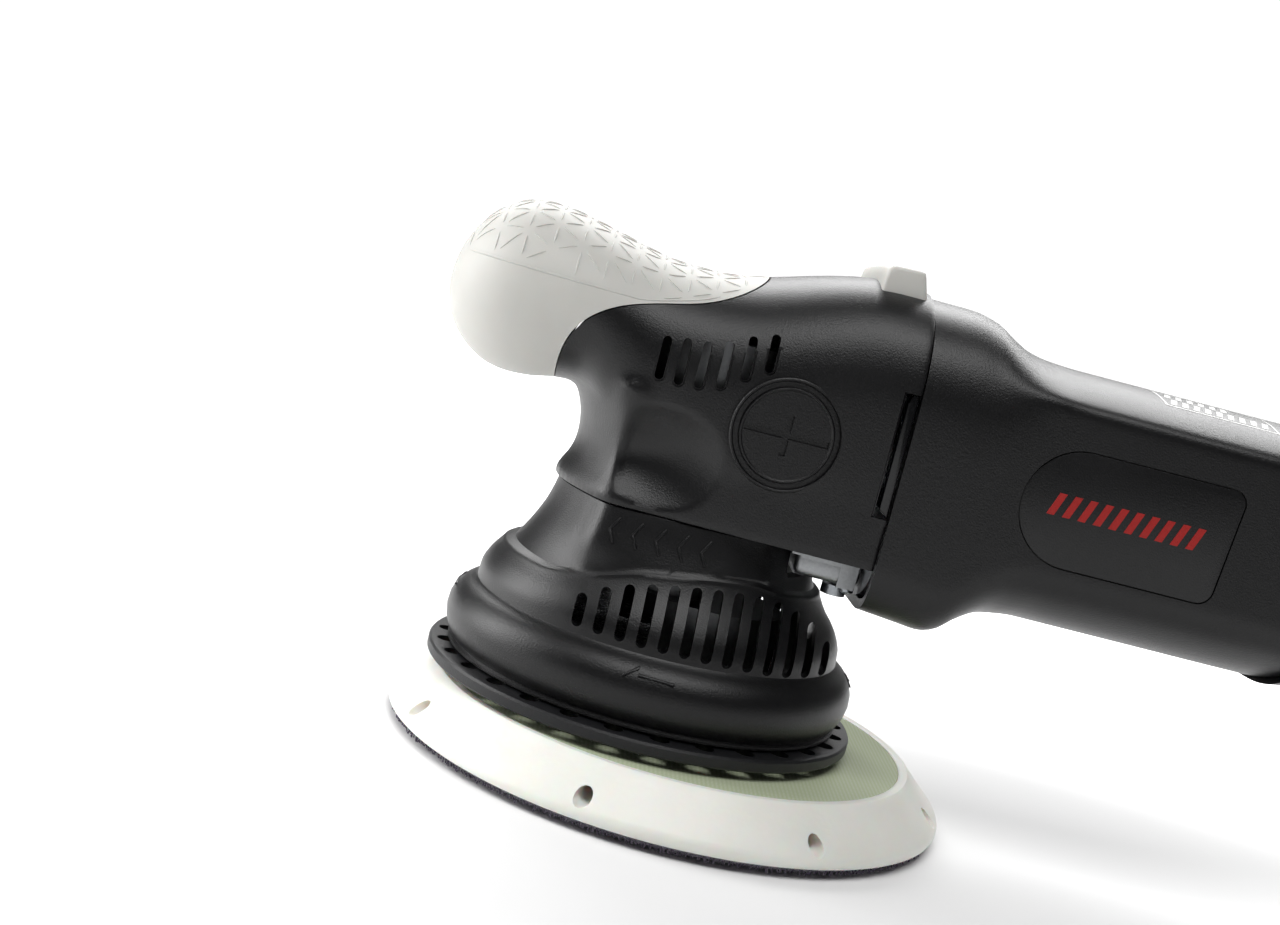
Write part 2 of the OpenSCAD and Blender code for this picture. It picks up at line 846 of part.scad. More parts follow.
module speed_dial() {
    color("#303236") translate([312.5, 0, 106.6]) rotate([90, 0, 0]) difference() {
        cylinder(r = 9.6, h = 7.4, center = true);
        cylinder(r = 2.4, h = 20, center = true);
        for (i = [0:23]) rotate([0, 0, i * 15]) translate([9.7, 0, 0])
            cylinder(r = 0.6, h = 20, center = true);
    }
}

// ---- output ----

hook_face();
foam_plate();
fibreglass_disc();
plate_washer();
plate_bolt();
pad_spindle();
eccentric_hub();
eccentric_bearings();
bearing_seal();
counterweight();
counterweight_screws();
drive_spindle();
ring_gear();
gear_key();
retaining_ring();
guard_ring();
shroud();
shroud_screws();
lower_bearing();
upper_bearing();
gearbox_housing();
gearbox_cap();
gearbox_screws();
head_cover();
front_grip();
grip_frame();
rest_bumper();
side_plugs();
latch_clips();
motor_shaft();
pinion();
cooling_fan();
armature_core();
armature_windings();
commutator();
motor_front_bearing();
motor_rear_bearing();
bearing_bush();
bearing_carrier();
stator_core();
stator_windings();
fan_baffle();
brush_holders();
carbon_brushes();
brush_springs();
motor_housing();
housing_screws();
side_badges();
top_label();
handle_left();
handle_right();
handle_screws();
switch_module();
speed_module();
cable_gland();
trigger();
trigger_pin();
lock_button();
speed_dial();
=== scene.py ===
# %% [markdown]
# # A dual action polisher
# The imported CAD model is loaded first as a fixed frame. Its inner pieces (spindle, gears, motor)
# stay as they are and only get a finish. The outer pieces, which the eye judges, are modelled
# again here with softer edges, seams, vents and embossed marks, in the places the frame gives.

# %% Load the frame
import bpy
import bmesh
import json
import math
import random
from mathutils import Matrix, Vector


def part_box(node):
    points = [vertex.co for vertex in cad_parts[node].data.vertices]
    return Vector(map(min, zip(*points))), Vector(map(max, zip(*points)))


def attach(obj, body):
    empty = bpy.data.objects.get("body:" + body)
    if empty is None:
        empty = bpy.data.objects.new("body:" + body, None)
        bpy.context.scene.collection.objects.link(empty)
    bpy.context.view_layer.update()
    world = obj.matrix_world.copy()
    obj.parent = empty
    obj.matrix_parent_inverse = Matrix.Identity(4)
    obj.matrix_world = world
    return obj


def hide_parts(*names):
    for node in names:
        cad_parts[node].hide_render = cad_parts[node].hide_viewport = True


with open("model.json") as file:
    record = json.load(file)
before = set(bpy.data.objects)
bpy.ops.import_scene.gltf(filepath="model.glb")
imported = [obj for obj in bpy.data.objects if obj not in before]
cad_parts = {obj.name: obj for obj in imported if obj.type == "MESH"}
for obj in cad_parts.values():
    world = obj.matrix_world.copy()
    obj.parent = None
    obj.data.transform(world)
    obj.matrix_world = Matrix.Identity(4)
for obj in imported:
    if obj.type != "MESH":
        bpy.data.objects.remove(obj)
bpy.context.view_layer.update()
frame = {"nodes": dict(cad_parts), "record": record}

# %% [markdown]
# ## Places
# Key places come from the boxes of the CAD nodes that the pieces stand for; the other sizes are given as
# numbers. Millimetres read better than metres for a tool this size, so the pieces are made in millimetres
# and scaled at the end.

# %% Read the boxes in millimetres
MM = 0.001


def box_mm(node):
    lo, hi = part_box(node)
    return Vector(lo) / MM, Vector(hi) / MM


plate_lo, plate_hi = box_mm("foam_plate")
ring_lo, ring_hi = box_mm("guard_ring")
cover_lo, cover_hi = box_mm("head_cover")
bumper_lo, bumper_hi = box_mm("rest_bumper")
plug_lo, plug_hi = box_mm("side_plugs")
plate_axis_x = (plate_lo.x + plate_hi.x) / 2
plate_r = (plate_hi.x - plate_lo.x) / 2
ring_r = ring_hi.y
seam_x = cover_hi.x
plug_x = (plug_lo.x + plug_hi.x) / 2
plug_z = (plug_lo.z + plug_hi.z) / 2
print("plate axis x", round(plate_axis_x, 2), "plate radius", round(plate_r, 2), "seam x", round(seam_x, 2))

# %% [markdown]
# ## Shaping helpers
# A moulded tool body is a run of closed outlines that change slowly along one axis. So the main
# helper reads a small table of sizes along the body, draws a smooth curve through it, sets a
# ring of points to the outline at each place, and bridges ring to ring.

# %% A smooth curve through a table
def follow(table, at):
    if at <= table[0][0]:
        return table[0][1]
    if at >= table[-1][0]:
        return table[-1][1]
    k = next(i for i in range(len(table) - 1) if table[i][0] <= at <= table[i + 1][0])

    def slope(i):
        if i == 0 or i == len(table) - 1:
            j = 0 if i == 0 else i - 1
            return (table[j + 1][1] - table[j][1]) / (table[j + 1][0] - table[j][0])
        left = (table[i][1] - table[i - 1][1]) / (table[i][0] - table[i - 1][0])
        right = (table[i + 1][1] - table[i][1]) / (table[i + 1][0] - table[i][0])
        return 0 if left * right <= 0 else 2 * left * right / (left + right)

    (x0, v0), (x1, v1) = table[k], table[k + 1]
    width = x1 - x0
    t = (at - x0) / width
    m0, m1 = slope(k) * width, slope(k + 1) * width
    return ((2 * t**3 - 3 * t**2 + 1) * v0 + (t**3 - 2 * t**2 + t) * m0
            + (3 * t**2 - 2 * t**3) * v1 + (t**3 - t**2) * m1)


def ease(low, high, at):
    t = min(1.0, max(0.0, (at - low) / (high - low)))
    return t * t * (3 - 2 * t)


# %% An outline with softened corners
def outline(corners, count, soften):
    """Evenly spaced points round a closed outline given by half its corners, mirrored in y."""
    whole = corners + [(-y, z) for y, z in reversed(corners[1:-1])]
    spans = [math.dist(whole[i], whole[(i + 1) % len(whole)]) for i in range(len(whole))]
    total = sum(spans)
    points, i, before = [], 0, 0.0
    for k in range(count):
        want = total * k / count
        while before + spans[i] < want:
            before += spans[i]
            i += 1
        t = (want - before) / spans[i]
        a, b = whole[i], whole[(i + 1) % len(whole)]
        points.append((a[0] + (b[0] - a[0]) * t, a[1] + (b[1] - a[1]) * t))
    for _ in range(soften):
        points = [((points[k - 1][0] + 2 * points[k][0] + points[(k + 1) % count][0]) / 4,
                   (points[k - 1][1] + 2 * points[k][1] + points[(k + 1) % count][1]) / 4)
                  for k in range(count)]
    return points


# %% Rings of points, bridged into a skin
def ring_of(bm, places):
    made = bmesh.ops.create_circle(bm, segments=len(places), radius=1)["verts"]
    for vert, place in zip(made, places):
        vert.co = place
    return list({e for v in made for e in v.link_edges})


def skin_over(bm, rings, cap=True):
    loops = [ring_of(bm, r) for r in rings]
    for a, b in zip(loops, loops[1:]):
        bmesh.ops.bridge_loops(bm, edges=a + b)
    if cap:
        for loop in (loops[0], loops[-1]):
            bmesh.ops.contextual_create(bm, geom=loop)
    bmesh.ops.recalc_face_normals(bm, faces=bm.faces)


def spun(bm, profile, steps=192, centre=(0, 0, 0), closed=True):
    """A profile of (radius, height) turned a full turn about a vertical axis."""
    verts = [bm.verts.new((r + centre[0], centre[1], z + centre[2])) for r, z in profile]
    edges = [bm.edges.new(pair) for pair in zip(verts, verts[1:] + verts[:1] if closed else verts[1:])]
    bmesh.ops.spin(bm, geom=verts + edges, cent=centre, axis=(0, 0, 1), angle=2 * math.pi,
                   steps=steps, use_merge=True)
    bmesh.ops.remove_doubles(bm, verts=bm.verts, dist=0.002)
    bmesh.ops.recalc_face_normals(bm, faces=bm.faces)


# %% Finished objects and cuts
def finish_piece(name, bm, sharp=38):
    """Scales a mesh made in millimetres to metres and links it."""
    bmesh.ops.scale(bm, vec=(MM, MM, MM), verts=bm.verts)
    mesh = bpy.data.meshes.new(name)
    bm.to_mesh(mesh)
    bm.free()
    piece = bpy.data.objects.new(name, mesh)
    bpy.context.scene.collection.objects.link(piece)
    shade(piece, sharp)
    return piece


def shade(piece, sharp=38):
    piece.data.shade_smooth()
    piece.data.set_sharp_from_angle(angle=math.radians(sharp))


def applied(piece):
    """Bakes the piece's modifiers into its mesh."""
    graph = bpy.context.evaluated_depsgraph_get()
    graph.update()
    mesh = bpy.data.meshes.new_from_object(piece.evaluated_get(graph))
    old = piece.data
    piece.modifiers.clear()
    piece.data = mesh
    mesh.name = piece.name
    bpy.data.meshes.remove(old)
    return piece


def carve(piece, tool, how="DIFFERENCE", solver="MANIFOLD"):
    cut = piece.modifiers.new("cut", "BOOLEAN")
    cut.object = tool
    cut.operation = how
    cut.solver = solver
    before = len(piece.data.polygons)
    applied(piece)
    print("  cut", piece.name, how.lower(), before, "->", len(piece.data.polygons), "faces")
    bpy.data.objects.remove(tool)


def walled(piece, thickness):
    """Gives an open skin an inner wall."""
    wall = piece.modifiers.new("wall", "SOLIDIFY")
    wall.thickness = thickness * MM
    wall.offset = -1
    wall.use_even_offset = False
    return applied(piece)


def blunt(bm, width, segments=2, sharper=30):
    edges = [e for e in bm.edges if len(e.link_faces) == 2
             and e.calc_face_angle(0) > math.radians(sharper)]
    bmesh.ops.bevel(bm, geom=edges, offset=width, affect="EDGES", segments=segments,
                    profile=0.5, material=-1)


def block(bm, lo, hi):
    made = bmesh.ops.create_cube(bm, size=1)["verts"]
    size = [h - l for l, h in zip(lo, hi)]
    bmesh.ops.scale(bm, vec=size, verts=made)
    bmesh.ops.translate(bm, vec=[(h + l) / 2 for l, h in zip(lo, hi)], verts=made)
    return made


def prism_y(bm, points, y0, y1):
    """A closed outline in x and z, pushed from y0 to y1."""
    verts = [bm.verts.new((x, y0, z)) for x, z in points]
    face = bm.faces.new(verts)
    pushed = bmesh.ops.extrude_face_region(bm, geom=[face])["geom"]
    bmesh.ops.translate(bm, vec=(0, y1 - y0, 0),
                        verts=[g for g in pushed if isinstance(g, bmesh.types.BMVert)])
    bmesh.ops.recalc_face_normals(bm, faces=bm.faces)


def stadium(cx, cz, w, h, steps=8):
    """Outline of an upright slot with round ends."""
    r = w / 2
    top = [(cx + r * math.cos(a), cz + h / 2 - r + r * math.sin(a))
           for a in [math.pi * i / steps for i in range(steps + 1)]]
    low = [(cx - r * math.cos(a), cz - h / 2 + r - r * math.sin(a))
           for a in [math.pi * i / steps for i in range(steps + 1)]]
    return top + low


# %% [markdown]
# ## Materials
# Each finish is built from nodes over Object coordinates, so a pattern keeps its real size on
# every piece. The scale of a noise in these coordinates is one over its grain in metres.

# %% Material helpers
def linear(hex_colour):
    out = []
    for i in (0, 2, 4):
        c = int(hex_colour[i:i + 2], 16) / 255
        out.append(c / 12.92 if c <= 0.04045 else ((c + 0.055) / 1.055) ** 2.4)
    return (*out, 1.0)


def add(tree, kind, settings=None, inputs=None, **links):
    """Adds a node, sets its properties and sockets, and links its inputs."""
    node = tree.nodes.new(kind)
    for key, value in (settings or {}).items():
        setattr(node, key, value)
    for key, value in (inputs or {}).items():
        node.inputs[key].default_value = value
    for key, source in links.items():
        tree.links.new(source, node.inputs[key.replace("_", " ")])
    return node


def started(name):
    material = bpy.data.materials.new(name)
    material.use_nodes = True
    tree = material.node_tree
    tree.nodes.clear()
    shader = add(tree, "ShaderNodeBsdfPrincipled")
    out = add(tree, "ShaderNodeOutputMaterial")
    tree.links.new(shader.outputs[0], out.inputs[0])
    where = add(tree, "ShaderNodeTexCoord").outputs["Object"]
    return material, tree, shader, where


def mixed(tree, factor, a, b):
    """A colour between two, by a factor socket."""
    node = add(tree, "ShaderNodeMix", {"data_type": "RGBA"})
    tree.links.new(factor, node.inputs[0])
    node.inputs[6].default_value = linear(a)
    node.inputs[7].default_value = linear(b)
    return node.outputs[2]


def spread(tree, source, low, high):
    node = add(tree, "ShaderNodeMapRange", inputs={"To Min": low, "To Max": high})
    tree.links.new(source, node.inputs[0])
    return node.outputs[0]


# %% [markdown]
# The covers are injection-moulded ABS with a spark-eroded texture: black, satin, with a fine
# grain that breaks the highlight into specks. The real grain is about 0.1 mm. It is drawn at
# 0.45 mm so that it shows.

# %% Moulded plastics
def moulded(name, dark, light, grain, rough, bump):
    material, tree, shader, where = started(name)
    fine = add(tree, "ShaderNodeTexNoise", inputs={"Scale": 1 / (grain * MM), "Detail": 3.0,
                                                   "Roughness": 0.6}, Vector=where)
    broad = add(tree, "ShaderNodeTexNoise", inputs={"Scale": 35.0, "Detail": 2.0}, Vector=where)
    tree.links.new(mixed(tree, fine.outputs[0], dark, light), shader.inputs["Base Color"])
    gloss = add(tree, "ShaderNodeMath", {"operation": "ADD"})
    tree.links.new(spread(tree, broad.outputs[0], rough - 0.05, rough + 0.05), gloss.inputs[0])
    tree.links.new(spread(tree, fine.outputs[0], -0.06, 0.06), gloss.inputs[1])
    tree.links.new(gloss.outputs[0], shader.inputs["Roughness"])
    bumps = add(tree, "ShaderNodeBump", inputs={"Strength": bump, "Distance": 0.00016},
                Height=fine.outputs[0])
    tree.links.new(bumps.outputs[0], shader.inputs["Normal"])
    shader.inputs["IOR"].default_value = 1.5
    shader.inputs["Specular IOR Level"].default_value = 0.4
    return material


abs_black = moulded("textured_abs", "050506", "0C0C0E", 0.45, 0.36, 0.6)
abs_smooth = moulded("smooth_abs", "08080A", "0E0F11", 0.6, 0.24, 0.1)
nylon_black = moulded("glass_filled_nylon", "08080A", "141518", 0.5, 0.46, 0.5)
red_abs = moulded("red_abs", "8E1512", "A71A16", 0.5, 0.3, 0.15)
carbon = moulded("pressed_carbon", "1C1C1E", "2B2B2D", 0.4, 0.6, 0.3)
board_green = moulded("circuit_board", "1C4A2C", "2A5E39", 0.8, 0.35, 0.2)

# %% [markdown]
# Rubber is duller and warmer. The white overmould has a faint mottle and soaks up a little
# light, which softens its shadows.

# %% Rubbers and foam
rubber_black = moulded("black_rubber", "101011", "1B1B1C", 0.4, 0.7, 0.4)


def white_rubber():
    material, tree, shader, where = started("white_rubber")
    mottle = add(tree, "ShaderNodeTexNoise", inputs={"Scale": 60.0, "Detail": 4.0}, Vector=where)
    grain = add(tree, "ShaderNodeTexNoise", inputs={"Scale": 2500.0, "Detail": 2.0}, Vector=where)
    tree.links.new(mixed(tree, mottle.outputs[0], "BAB9B4", "C6C5C0"), shader.inputs["Base Color"])
    tree.links.new(spread(tree, mottle.outputs[0], 0.5, 0.6), shader.inputs["Roughness"])
    bumps = add(tree, "ShaderNodeBump", inputs={"Strength": 0.15, "Distance": 0.0001},
                Height=grain.outputs[0])
    tree.links.new(bumps.outputs[0], shader.inputs["Normal"])
    shader.inputs["Subsurface Weight"].default_value = 0.06
    shader.inputs["Subsurface Scale"].default_value = 0.002
    return material


def plate_foam():
    """Integral-skin polyurethane: cream, satin, with tiny pits."""
    material, tree, shader, where = started("integral_skin_foam")
    mottle = add(tree, "ShaderNodeTexNoise", inputs={"Scale": 90.0, "Detail": 3.0}, Vector=where)
    pits = add(tree, "ShaderNodeTexVoronoi", inputs={"Scale": 700.0}, Vector=where)
    tree.links.new(mixed(tree, mottle.outputs[0], "E9E8E0", "F3F2EC"), shader.inputs["Base Color"])
    tree.links.new(spread(tree, mottle.outputs[0], 0.34, 0.46), shader.inputs["Roughness"])
    bumps = add(tree, "ShaderNodeBump", inputs={"Strength": 0.12, "Distance": 0.0002},
                Height=pits.outputs["Distance"])
    tree.links.new(bumps.outputs[0], shader.inputs["Normal"])
    shader.inputs["Subsurface Weight"].default_value = 0.3
    shader.inputs["Subsurface Scale"].default_value = 0.006
    return material


rubber_white = white_rubber()
foam_cream = plate_foam()

# %% [markdown]
# The plate's stiff backing is fibreglass: a pale green laminate whose woven cloth shows faintly
# under a glossy resin. The hook face is dark woven fabric.

# %% Laminate and hook fabric
def laminate():
    material, tree, shader, where = started("fibreglass_laminate")
    warp = add(tree, "ShaderNodeTexWave", {"bands_direction": "X"},
               {"Scale": 300.0, "Distortion": 0.4}, Vector=where)
    weft = add(tree, "ShaderNodeTexWave", {"bands_direction": "Y"},
               {"Scale": 300.0, "Distortion": 0.4}, Vector=where)
    cloth = add(tree, "ShaderNodeMath", {"operation": "MULTIPLY"})
    tree.links.new(warp.outputs[0], cloth.inputs[0])
    tree.links.new(weft.outputs[0], cloth.inputs[1])
    tree.links.new(mixed(tree, cloth.outputs[0], "CBD6B2", "DFE6CE"), shader.inputs["Base Color"])
    bumps = add(tree, "ShaderNodeBump", inputs={"Strength": 0.1, "Distance": 0.0002},
                Height=cloth.outputs[0])
    tree.links.new(bumps.outputs[0], shader.inputs["Normal"])
    shader.inputs["Roughness"].default_value = 0.2
    shader.inputs["Coat Weight"].default_value = 0.5
    shader.inputs["Coat Roughness"].default_value = 0.08
    return material


def hook_cloth():
    material, tree, shader, where = started("hook_and_loop_fabric")
    fibres = add(tree, "ShaderNodeTexNoise", inputs={"Scale": 1800.0, "Detail": 5.0}, Vector=where)
    tree.links.new(mixed(tree, fibres.outputs[0], "2A2433", "6A6074"), shader.inputs["Base Color"])
    bumps = add(tree, "ShaderNodeBump", inputs={"Strength": 0.8, "Distance": 0.0005},
                Height=fibres.outputs[0])
    tree.links.new(bumps.outputs[0], shader.inputs["Normal"])
    shader.inputs["Roughness"].default_value = 0.9
    shader.inputs["Sheen Weight"].default_value = 0.4
    return material


laminate_green = laminate()
hook_fabric = hook_cloth()

# %% [markdown]
# Metals: die-cast aluminium is matt and slightly cloudy, turned steel is bright with fine
# turning rings, zinc plate is bluish and duller, and copper wire keeps its warm enamel.

# %% Metals
def metal(name, dark, light, grain, rough, bump, stretch=(1, 1, 1)):
    material, tree, shader, where = started(name)
    turned = add(tree, "ShaderNodeMapping", inputs={"Scale": stretch}, Vector=where)
    marks = add(tree, "ShaderNodeTexNoise", inputs={"Scale": 1 / (grain * MM), "Detail": 4.0},
                Vector=turned.outputs[0])
    tree.links.new(mixed(tree, marks.outputs[0], dark, light), shader.inputs["Base Color"])
    tree.links.new(spread(tree, marks.outputs[0], rough - 0.08, rough + 0.08),
                   shader.inputs["Roughness"])
    bumps = add(tree, "ShaderNodeBump", inputs={"Strength": bump, "Distance": 0.0001},
                Height=marks.outputs[0])
    tree.links.new(bumps.outputs[0], shader.inputs["Normal"])
    shader.inputs["Metallic"].default_value = 1.0
    return material


cast_aluminium = metal("cast_aluminium", "8C8E90", "AEB0B2", 0.8, 0.42, 0.4)
turned_steel = metal("turned_steel", "B2B4B6", "D8D9DA", 0.6, 0.26, 0.15, (0.2, 0.2, 4))
zinc_plate = metal("zinc_plated_steel", "8F9499", "B4B8BC", 0.7, 0.36, 0.2)
lamination = metal("varnished_laminations", "4C4E50", "6E7072", 0.5, 0.45, 0.4, (6, 0.3, 0.3))
copper_wire = metal("enamelled_copper", "8E4A1E", "C77B3E", 0.5, 0.35, 0.5, (0.4, 3, 3))
brass_sheet = metal("pressed_brass", "B08B3C", "D2AF5C", 0.7, 0.32, 0.2)
print("metals ready:", cast_aluminium.name, turned_steel.name, zinc_plate.name)

# %% [markdown]
# Every CAD node that stays gets the finish of its material slot.

# %% Finish the CAD nodes
by_slot = {
    "abs_black": abs_black, "nylon_black": nylon_black, "rubber_black": rubber_black,
    "rubber_white": rubber_white, "foam_cream": foam_cream, "hook_fabric": hook_fabric,
    "fibreglass": laminate_green, "steel": turned_steel, "zinc_steel": zinc_plate,
    "aluminium": cast_aluminium, "laminated_steel": lamination, "copper": copper_wire,
    "brass": brass_sheet, "carbon": carbon, "plastic_gloss": abs_smooth,
    "plastic_red": red_abs, "board": board_green,
}
for part in frame["record"]["subparts"]:
    node = frame["nodes"][part["node"]]
    node.data.materials.clear()
    node.data.materials.append(by_slot[part["material_slot"]])
print("finished", len(frame["nodes"]), "CAD nodes")


def place(piece, body, slot, material, *nodes):
    """Puts a finished piece on its body, in place of CAD nodes."""
    piece.data.materials.clear()
    piece.data.materials.append(material)
    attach(piece, body)
    if nodes:
        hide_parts(*nodes)
    print(piece.name, len(piece.data.polygons), "faces, on", body)


# %% [markdown]
# ## Backing plate
# The foam body is a turned shape: a thin upright rim, a sloping side, and a shallow seat on top
# for the laminate. Eight vents leave the slope. A spin of one profile makes it.

# %% Foam body
bm = bmesh.new()
top_r = 64.3
foam_profile = [(12, 2.5), (40, 2.5), (plate_r - 0.8, 2.5), (plate_r - 0.25, 2.75), (plate_r, 3.3),
                (plate_r, 4.2), (plate_r - 0.35, 5.0), (plate_r - 1.1, 6.0),
                (top_r + 5.2, 9.8), (top_r + 1.7, 13.0), (top_r + 0.9, 13.8),
                (top_r, plate_hi.z), (62.8, plate_hi.z), (62.3, 14.3), (62.05, 14.15), (62.0, 12.4),
                (12, 12.4)]
spun(bm, foam_profile, 240, (plate_axis_x, 0, 0))
foam = finish_piece("foam_body", bm, 28)
bm = bmesh.new()
for i in range(8):
    turn = Matrix.Rotation(math.radians(28 + i * 45), 4, "Z")
    hole = bmesh.ops.create_cone(bm, cap_ends=True, segments=24, radius1=2.1, radius2=2.1, depth=26)
    bmesh.ops.rotate(bm, verts=hole["verts"], matrix=Matrix.Rotation(math.pi / 2, 4, "Y"))
    bmesh.ops.translate(bm, verts=hole["verts"], vec=(plate_r - 10, 0, 7.4))
    bmesh.ops.transform(bm, matrix=Matrix.Translation((plate_axis_x, 0, 0)) @ turn,
                        verts=hole["verts"])
carve(foam, finish_piece("vent_tool", bm))
shade(foam, 28)
place(foam, "plate", "foam_cream", foam_cream, "foam_plate")

# %% Laminate disc
bm = bmesh.new()
spun(bm, [(9.4, 12.42), (61.99, 12.42), (61.99, 13.95), (61.85, 14.1), (9.6, 14.1), (9.4, 13.95)],
     192, (plate_axis_x, 0, 0))
disc = finish_piece("laminate_disc", bm, 30)
place(disc, "plate", "fibreglass", laminate_green, "fibreglass_disc")

# %% [markdown]
# The hook face is a dark woven disc. Cut hooks stick out all round its edge, so the plate's
# lower rim looks ragged. Hundreds of tiny stubs of eight faces each make that edge.

# %% Hook face with its ragged edge
random.seed(4)
bm = bmesh.new()
spun(bm, [(12, 0.3), (plate_r - 5.0, 0.3), (plate_r - 2.6, 1.2), (plate_r - 1.2, 2.3),
          (plate_r - 1.0, 2.52), (12, 2.52)], 160, (plate_axis_x, 0, 0))
stub_count = 620
for i in range(stub_count):
    angle = 2 * math.pi * (i + random.uniform(-0.3, 0.3)) / stub_count
    stub = bmesh.ops.create_cone(bm, cap_ends=True, segments=4, radius1=random.uniform(0.16, 0.3),
                                 radius2=0.1, depth=random.uniform(1.0, 1.7))["verts"]
    lean = Matrix.Rotation(random.uniform(-0.5, 0.9), 4, "Y") @ Matrix.Rotation(
        random.uniform(-0.6, 0.6), 4, "X")
    reach = plate_r - random.uniform(1.2, 1.9)
    bmesh.ops.transform(bm, matrix=Matrix.Translation((plate_axis_x, 0, 0))
                        @ Matrix.Rotation(angle, 4, "Z")
                        @ Matrix.Translation((reach, 0, random.uniform(1.5, 1.8))) @ lean, verts=stub)
hooks = finish_piece("hook_disc", bm, 50)
place(hooks, "plate", "hook_fabric", hook_fabric, "hook_face")

# %% [markdown]
# ## Guard ring
# A flat nylon ring under the shroud with thirty round holes. Its rim and the edges of the
# holes are slightly broken.

# %% Guard ring
bm = bmesh.new()
inner_r = ring_r * 0.8
z0, z1 = ring_lo.z, ring_lo.z + 3.5
spun(bm, [(inner_r, z0), (ring_r - 0.5, z0), (ring_r, z0 + 0.5), (ring_r, z1 - 0.9),
          (ring_r - 0.4, z1 - 0.3), (ring_r - 1.1, z1), (49.6, z1), (48.9, z1 + 0.2),
          (48.6, z1 + 2.4), (inner_r, z1 + 2.4)], 240)
guard = finish_piece("guard", bm, 30)
bm = bmesh.new()
for i in range(30):
    hole = bmesh.ops.create_cone(bm, cap_ends=True, segments=28, radius1=2.45, radius2=2.45, depth=12)
    a = math.radians(178.6 + i * 12)
    bmesh.ops.translate(bm, verts=hole["verts"],
                        vec=(ring_r * 0.925 * math.cos(a), ring_r * 0.925 * math.sin(a), z0))
carve(guard, finish_piece("ring_hole_tool", bm))
shade(guard, 30)
place(guard, "housing", "nylon_black", nylon_black, "guard_ring")

# %% [markdown]
# ## Shroud
# A bell that guards the counterweight. A full bumper bulges round its foot. Above it a rounded
# band holds the vents, then a small bead marks where the neck starts. The foot is round, but
# the neck has flat sides like the head on top of it, and the bead climbs towards the back. So
# each ring of points gets its radius from both the height and the direction.

# %% Shroud sizes
foot_wall = [(50.6, 20.2), (52.2, 20.2), (52.9, 20.6), (52.95, 21.3), (52.3, 21.8), (53.3, 23.2),
             (54.4, 25.6), (54.9, 28.4), (54.7, 31.0), (53.8, 33.3), (52.3, 35.2), (50.5, 36.5),
             (49.4, 37.0), (48.9, 37.6)]
band_wall = [(37.6, 48.9), (41, 48.7), (44.5, 47.3), (48, 44.8), (50, 42.9), (52, 41.6), (54, 40.4),
             (56, 39.2), (58, 38.2)]
neck_wall = [(49, 42.0), (52, 40.2), (56, 38.1), (61.3, 35.9), (66, 34.7), (68.3, 34.3)]
bead_height = [(-44, 48.8), (-32, 48.6), (-24, 49.9), (-9, 54.4), (1, 55.8), (10, 57.0), (20, 57.4),
               (28, 56.2), (36, 55.4), (44, 55.0)]
neck_shape = [(0, 1.0), (20, 1.004), (36, 1.03), (48, 1.08), (54, 1.118), (57.5, 1.136), (60.5, 1.128),
              (70, 1.075), (80, 1.038), (90, 1.026), (100, 1.03), (110, 1.05), (120, 1.052), (134, 1.02),
              (150, 1.0), (180, 1.0)]
inner_wall = [(29.6, 68.3), (29.6, 66.2), (31.9, 66.2), (32.0, 61.4), (33.3, 58.6), (35.4, 55.6),
              (38.0, 52.6), (40.6, 49.6), (43.2, 46.2), (44.8, 42.6), (45.6, 38.6), (46.9, 34.0),
              (46.9, 22.7), (50.6, 22.7)]


def flatness(angle):
    """How far the neck stands out of a circle, by direction. The angle is 0 at the back."""
    return follow(neck_shape, abs(180 - math.degrees(angle) % 360))


def neck_radius(angle, z):
    keep = 0.25 + 0.75 * ease(50, 61, z)
    return follow(neck_wall, z) * (1 + (flatness(angle) - 1) * keep)


def bead_at(angle):
    return follow(bead_height, 42 * math.cos(angle))


def bell_radius(angle, z):
    if z < 37.6:
        return follow(sorted((h, r) for r, h in foot_wall[5:]), z)
    return follow(band_wall, z) if z < bead_at(angle) else neck_radius(angle, z)


# %% Shroud shell
def bell_ring(radius_height, count=240):
    """One closed ring. The function gives radius and height for a direction."""
    ring = []
    for k in range(count):
        angle = 2 * math.pi * k / count
        r, z = radius_height(angle)
        ring.append((r * math.cos(angle), r * math.sin(angle), z))
    return ring


rings = [bell_ring(lambda a, p=p: p) for p in foot_wall]
for share in (0.12, 0.25, 0.38, 0.5, 0.62, 0.74, 0.86):
    def on_band(angle, share=share):
        z = 37.6 + (bead_at(angle) - 1.4 - 37.6) * share
        return follow(band_wall, z), z
    rings.append(bell_ring(on_band))
for below, proud in ((1.4, 0.0), (0.7, 0.12), (0.1, 0.3), (-0.35, 0.1)):
    def on_bead(angle, below=below, proud=proud):
        z = bead_at(angle) - below
        return follow(band_wall, z) + proud, z
    rings.append(bell_ring(on_bead))
for share in (0.0, 0.06, 0.14, 0.24, 0.36, 0.48, 0.6, 0.72, 0.84, 0.94, 1.0):
    def on_neck(angle, share=share):
        low = bead_at(angle) + 1.0
        z = low + (68.0 - low) * share
        return min(neck_radius(angle, z), follow(band_wall, z) + 0.1 if share == 0 else 99), z
    rings.append(bell_ring(on_neck))
rings.append(bell_ring(lambda a: (neck_radius(a, 68.3) - 0.35, 68.3)))
rings += [bell_ring(lambda a, p=p: p) for p in inner_wall]
bm = bmesh.new()
loops = [ring_of(bm, r) for r in rings]
for a, b in zip(loops, loops[1:] + loops[:1]):
    bmesh.ops.bridge_loops(bm, edges=a + b)
bmesh.ops.recalc_face_normals(bm, faces=bm.faces)
shroud = finish_piece("shroud_bell", bm, 32)
print("shroud", len(rings), "rings")

# %% [markdown]
# Thirteen upright vents a side, all pointing the way the mould opens, so they are cut straight
# across the bell. Their tops follow the shoulder.

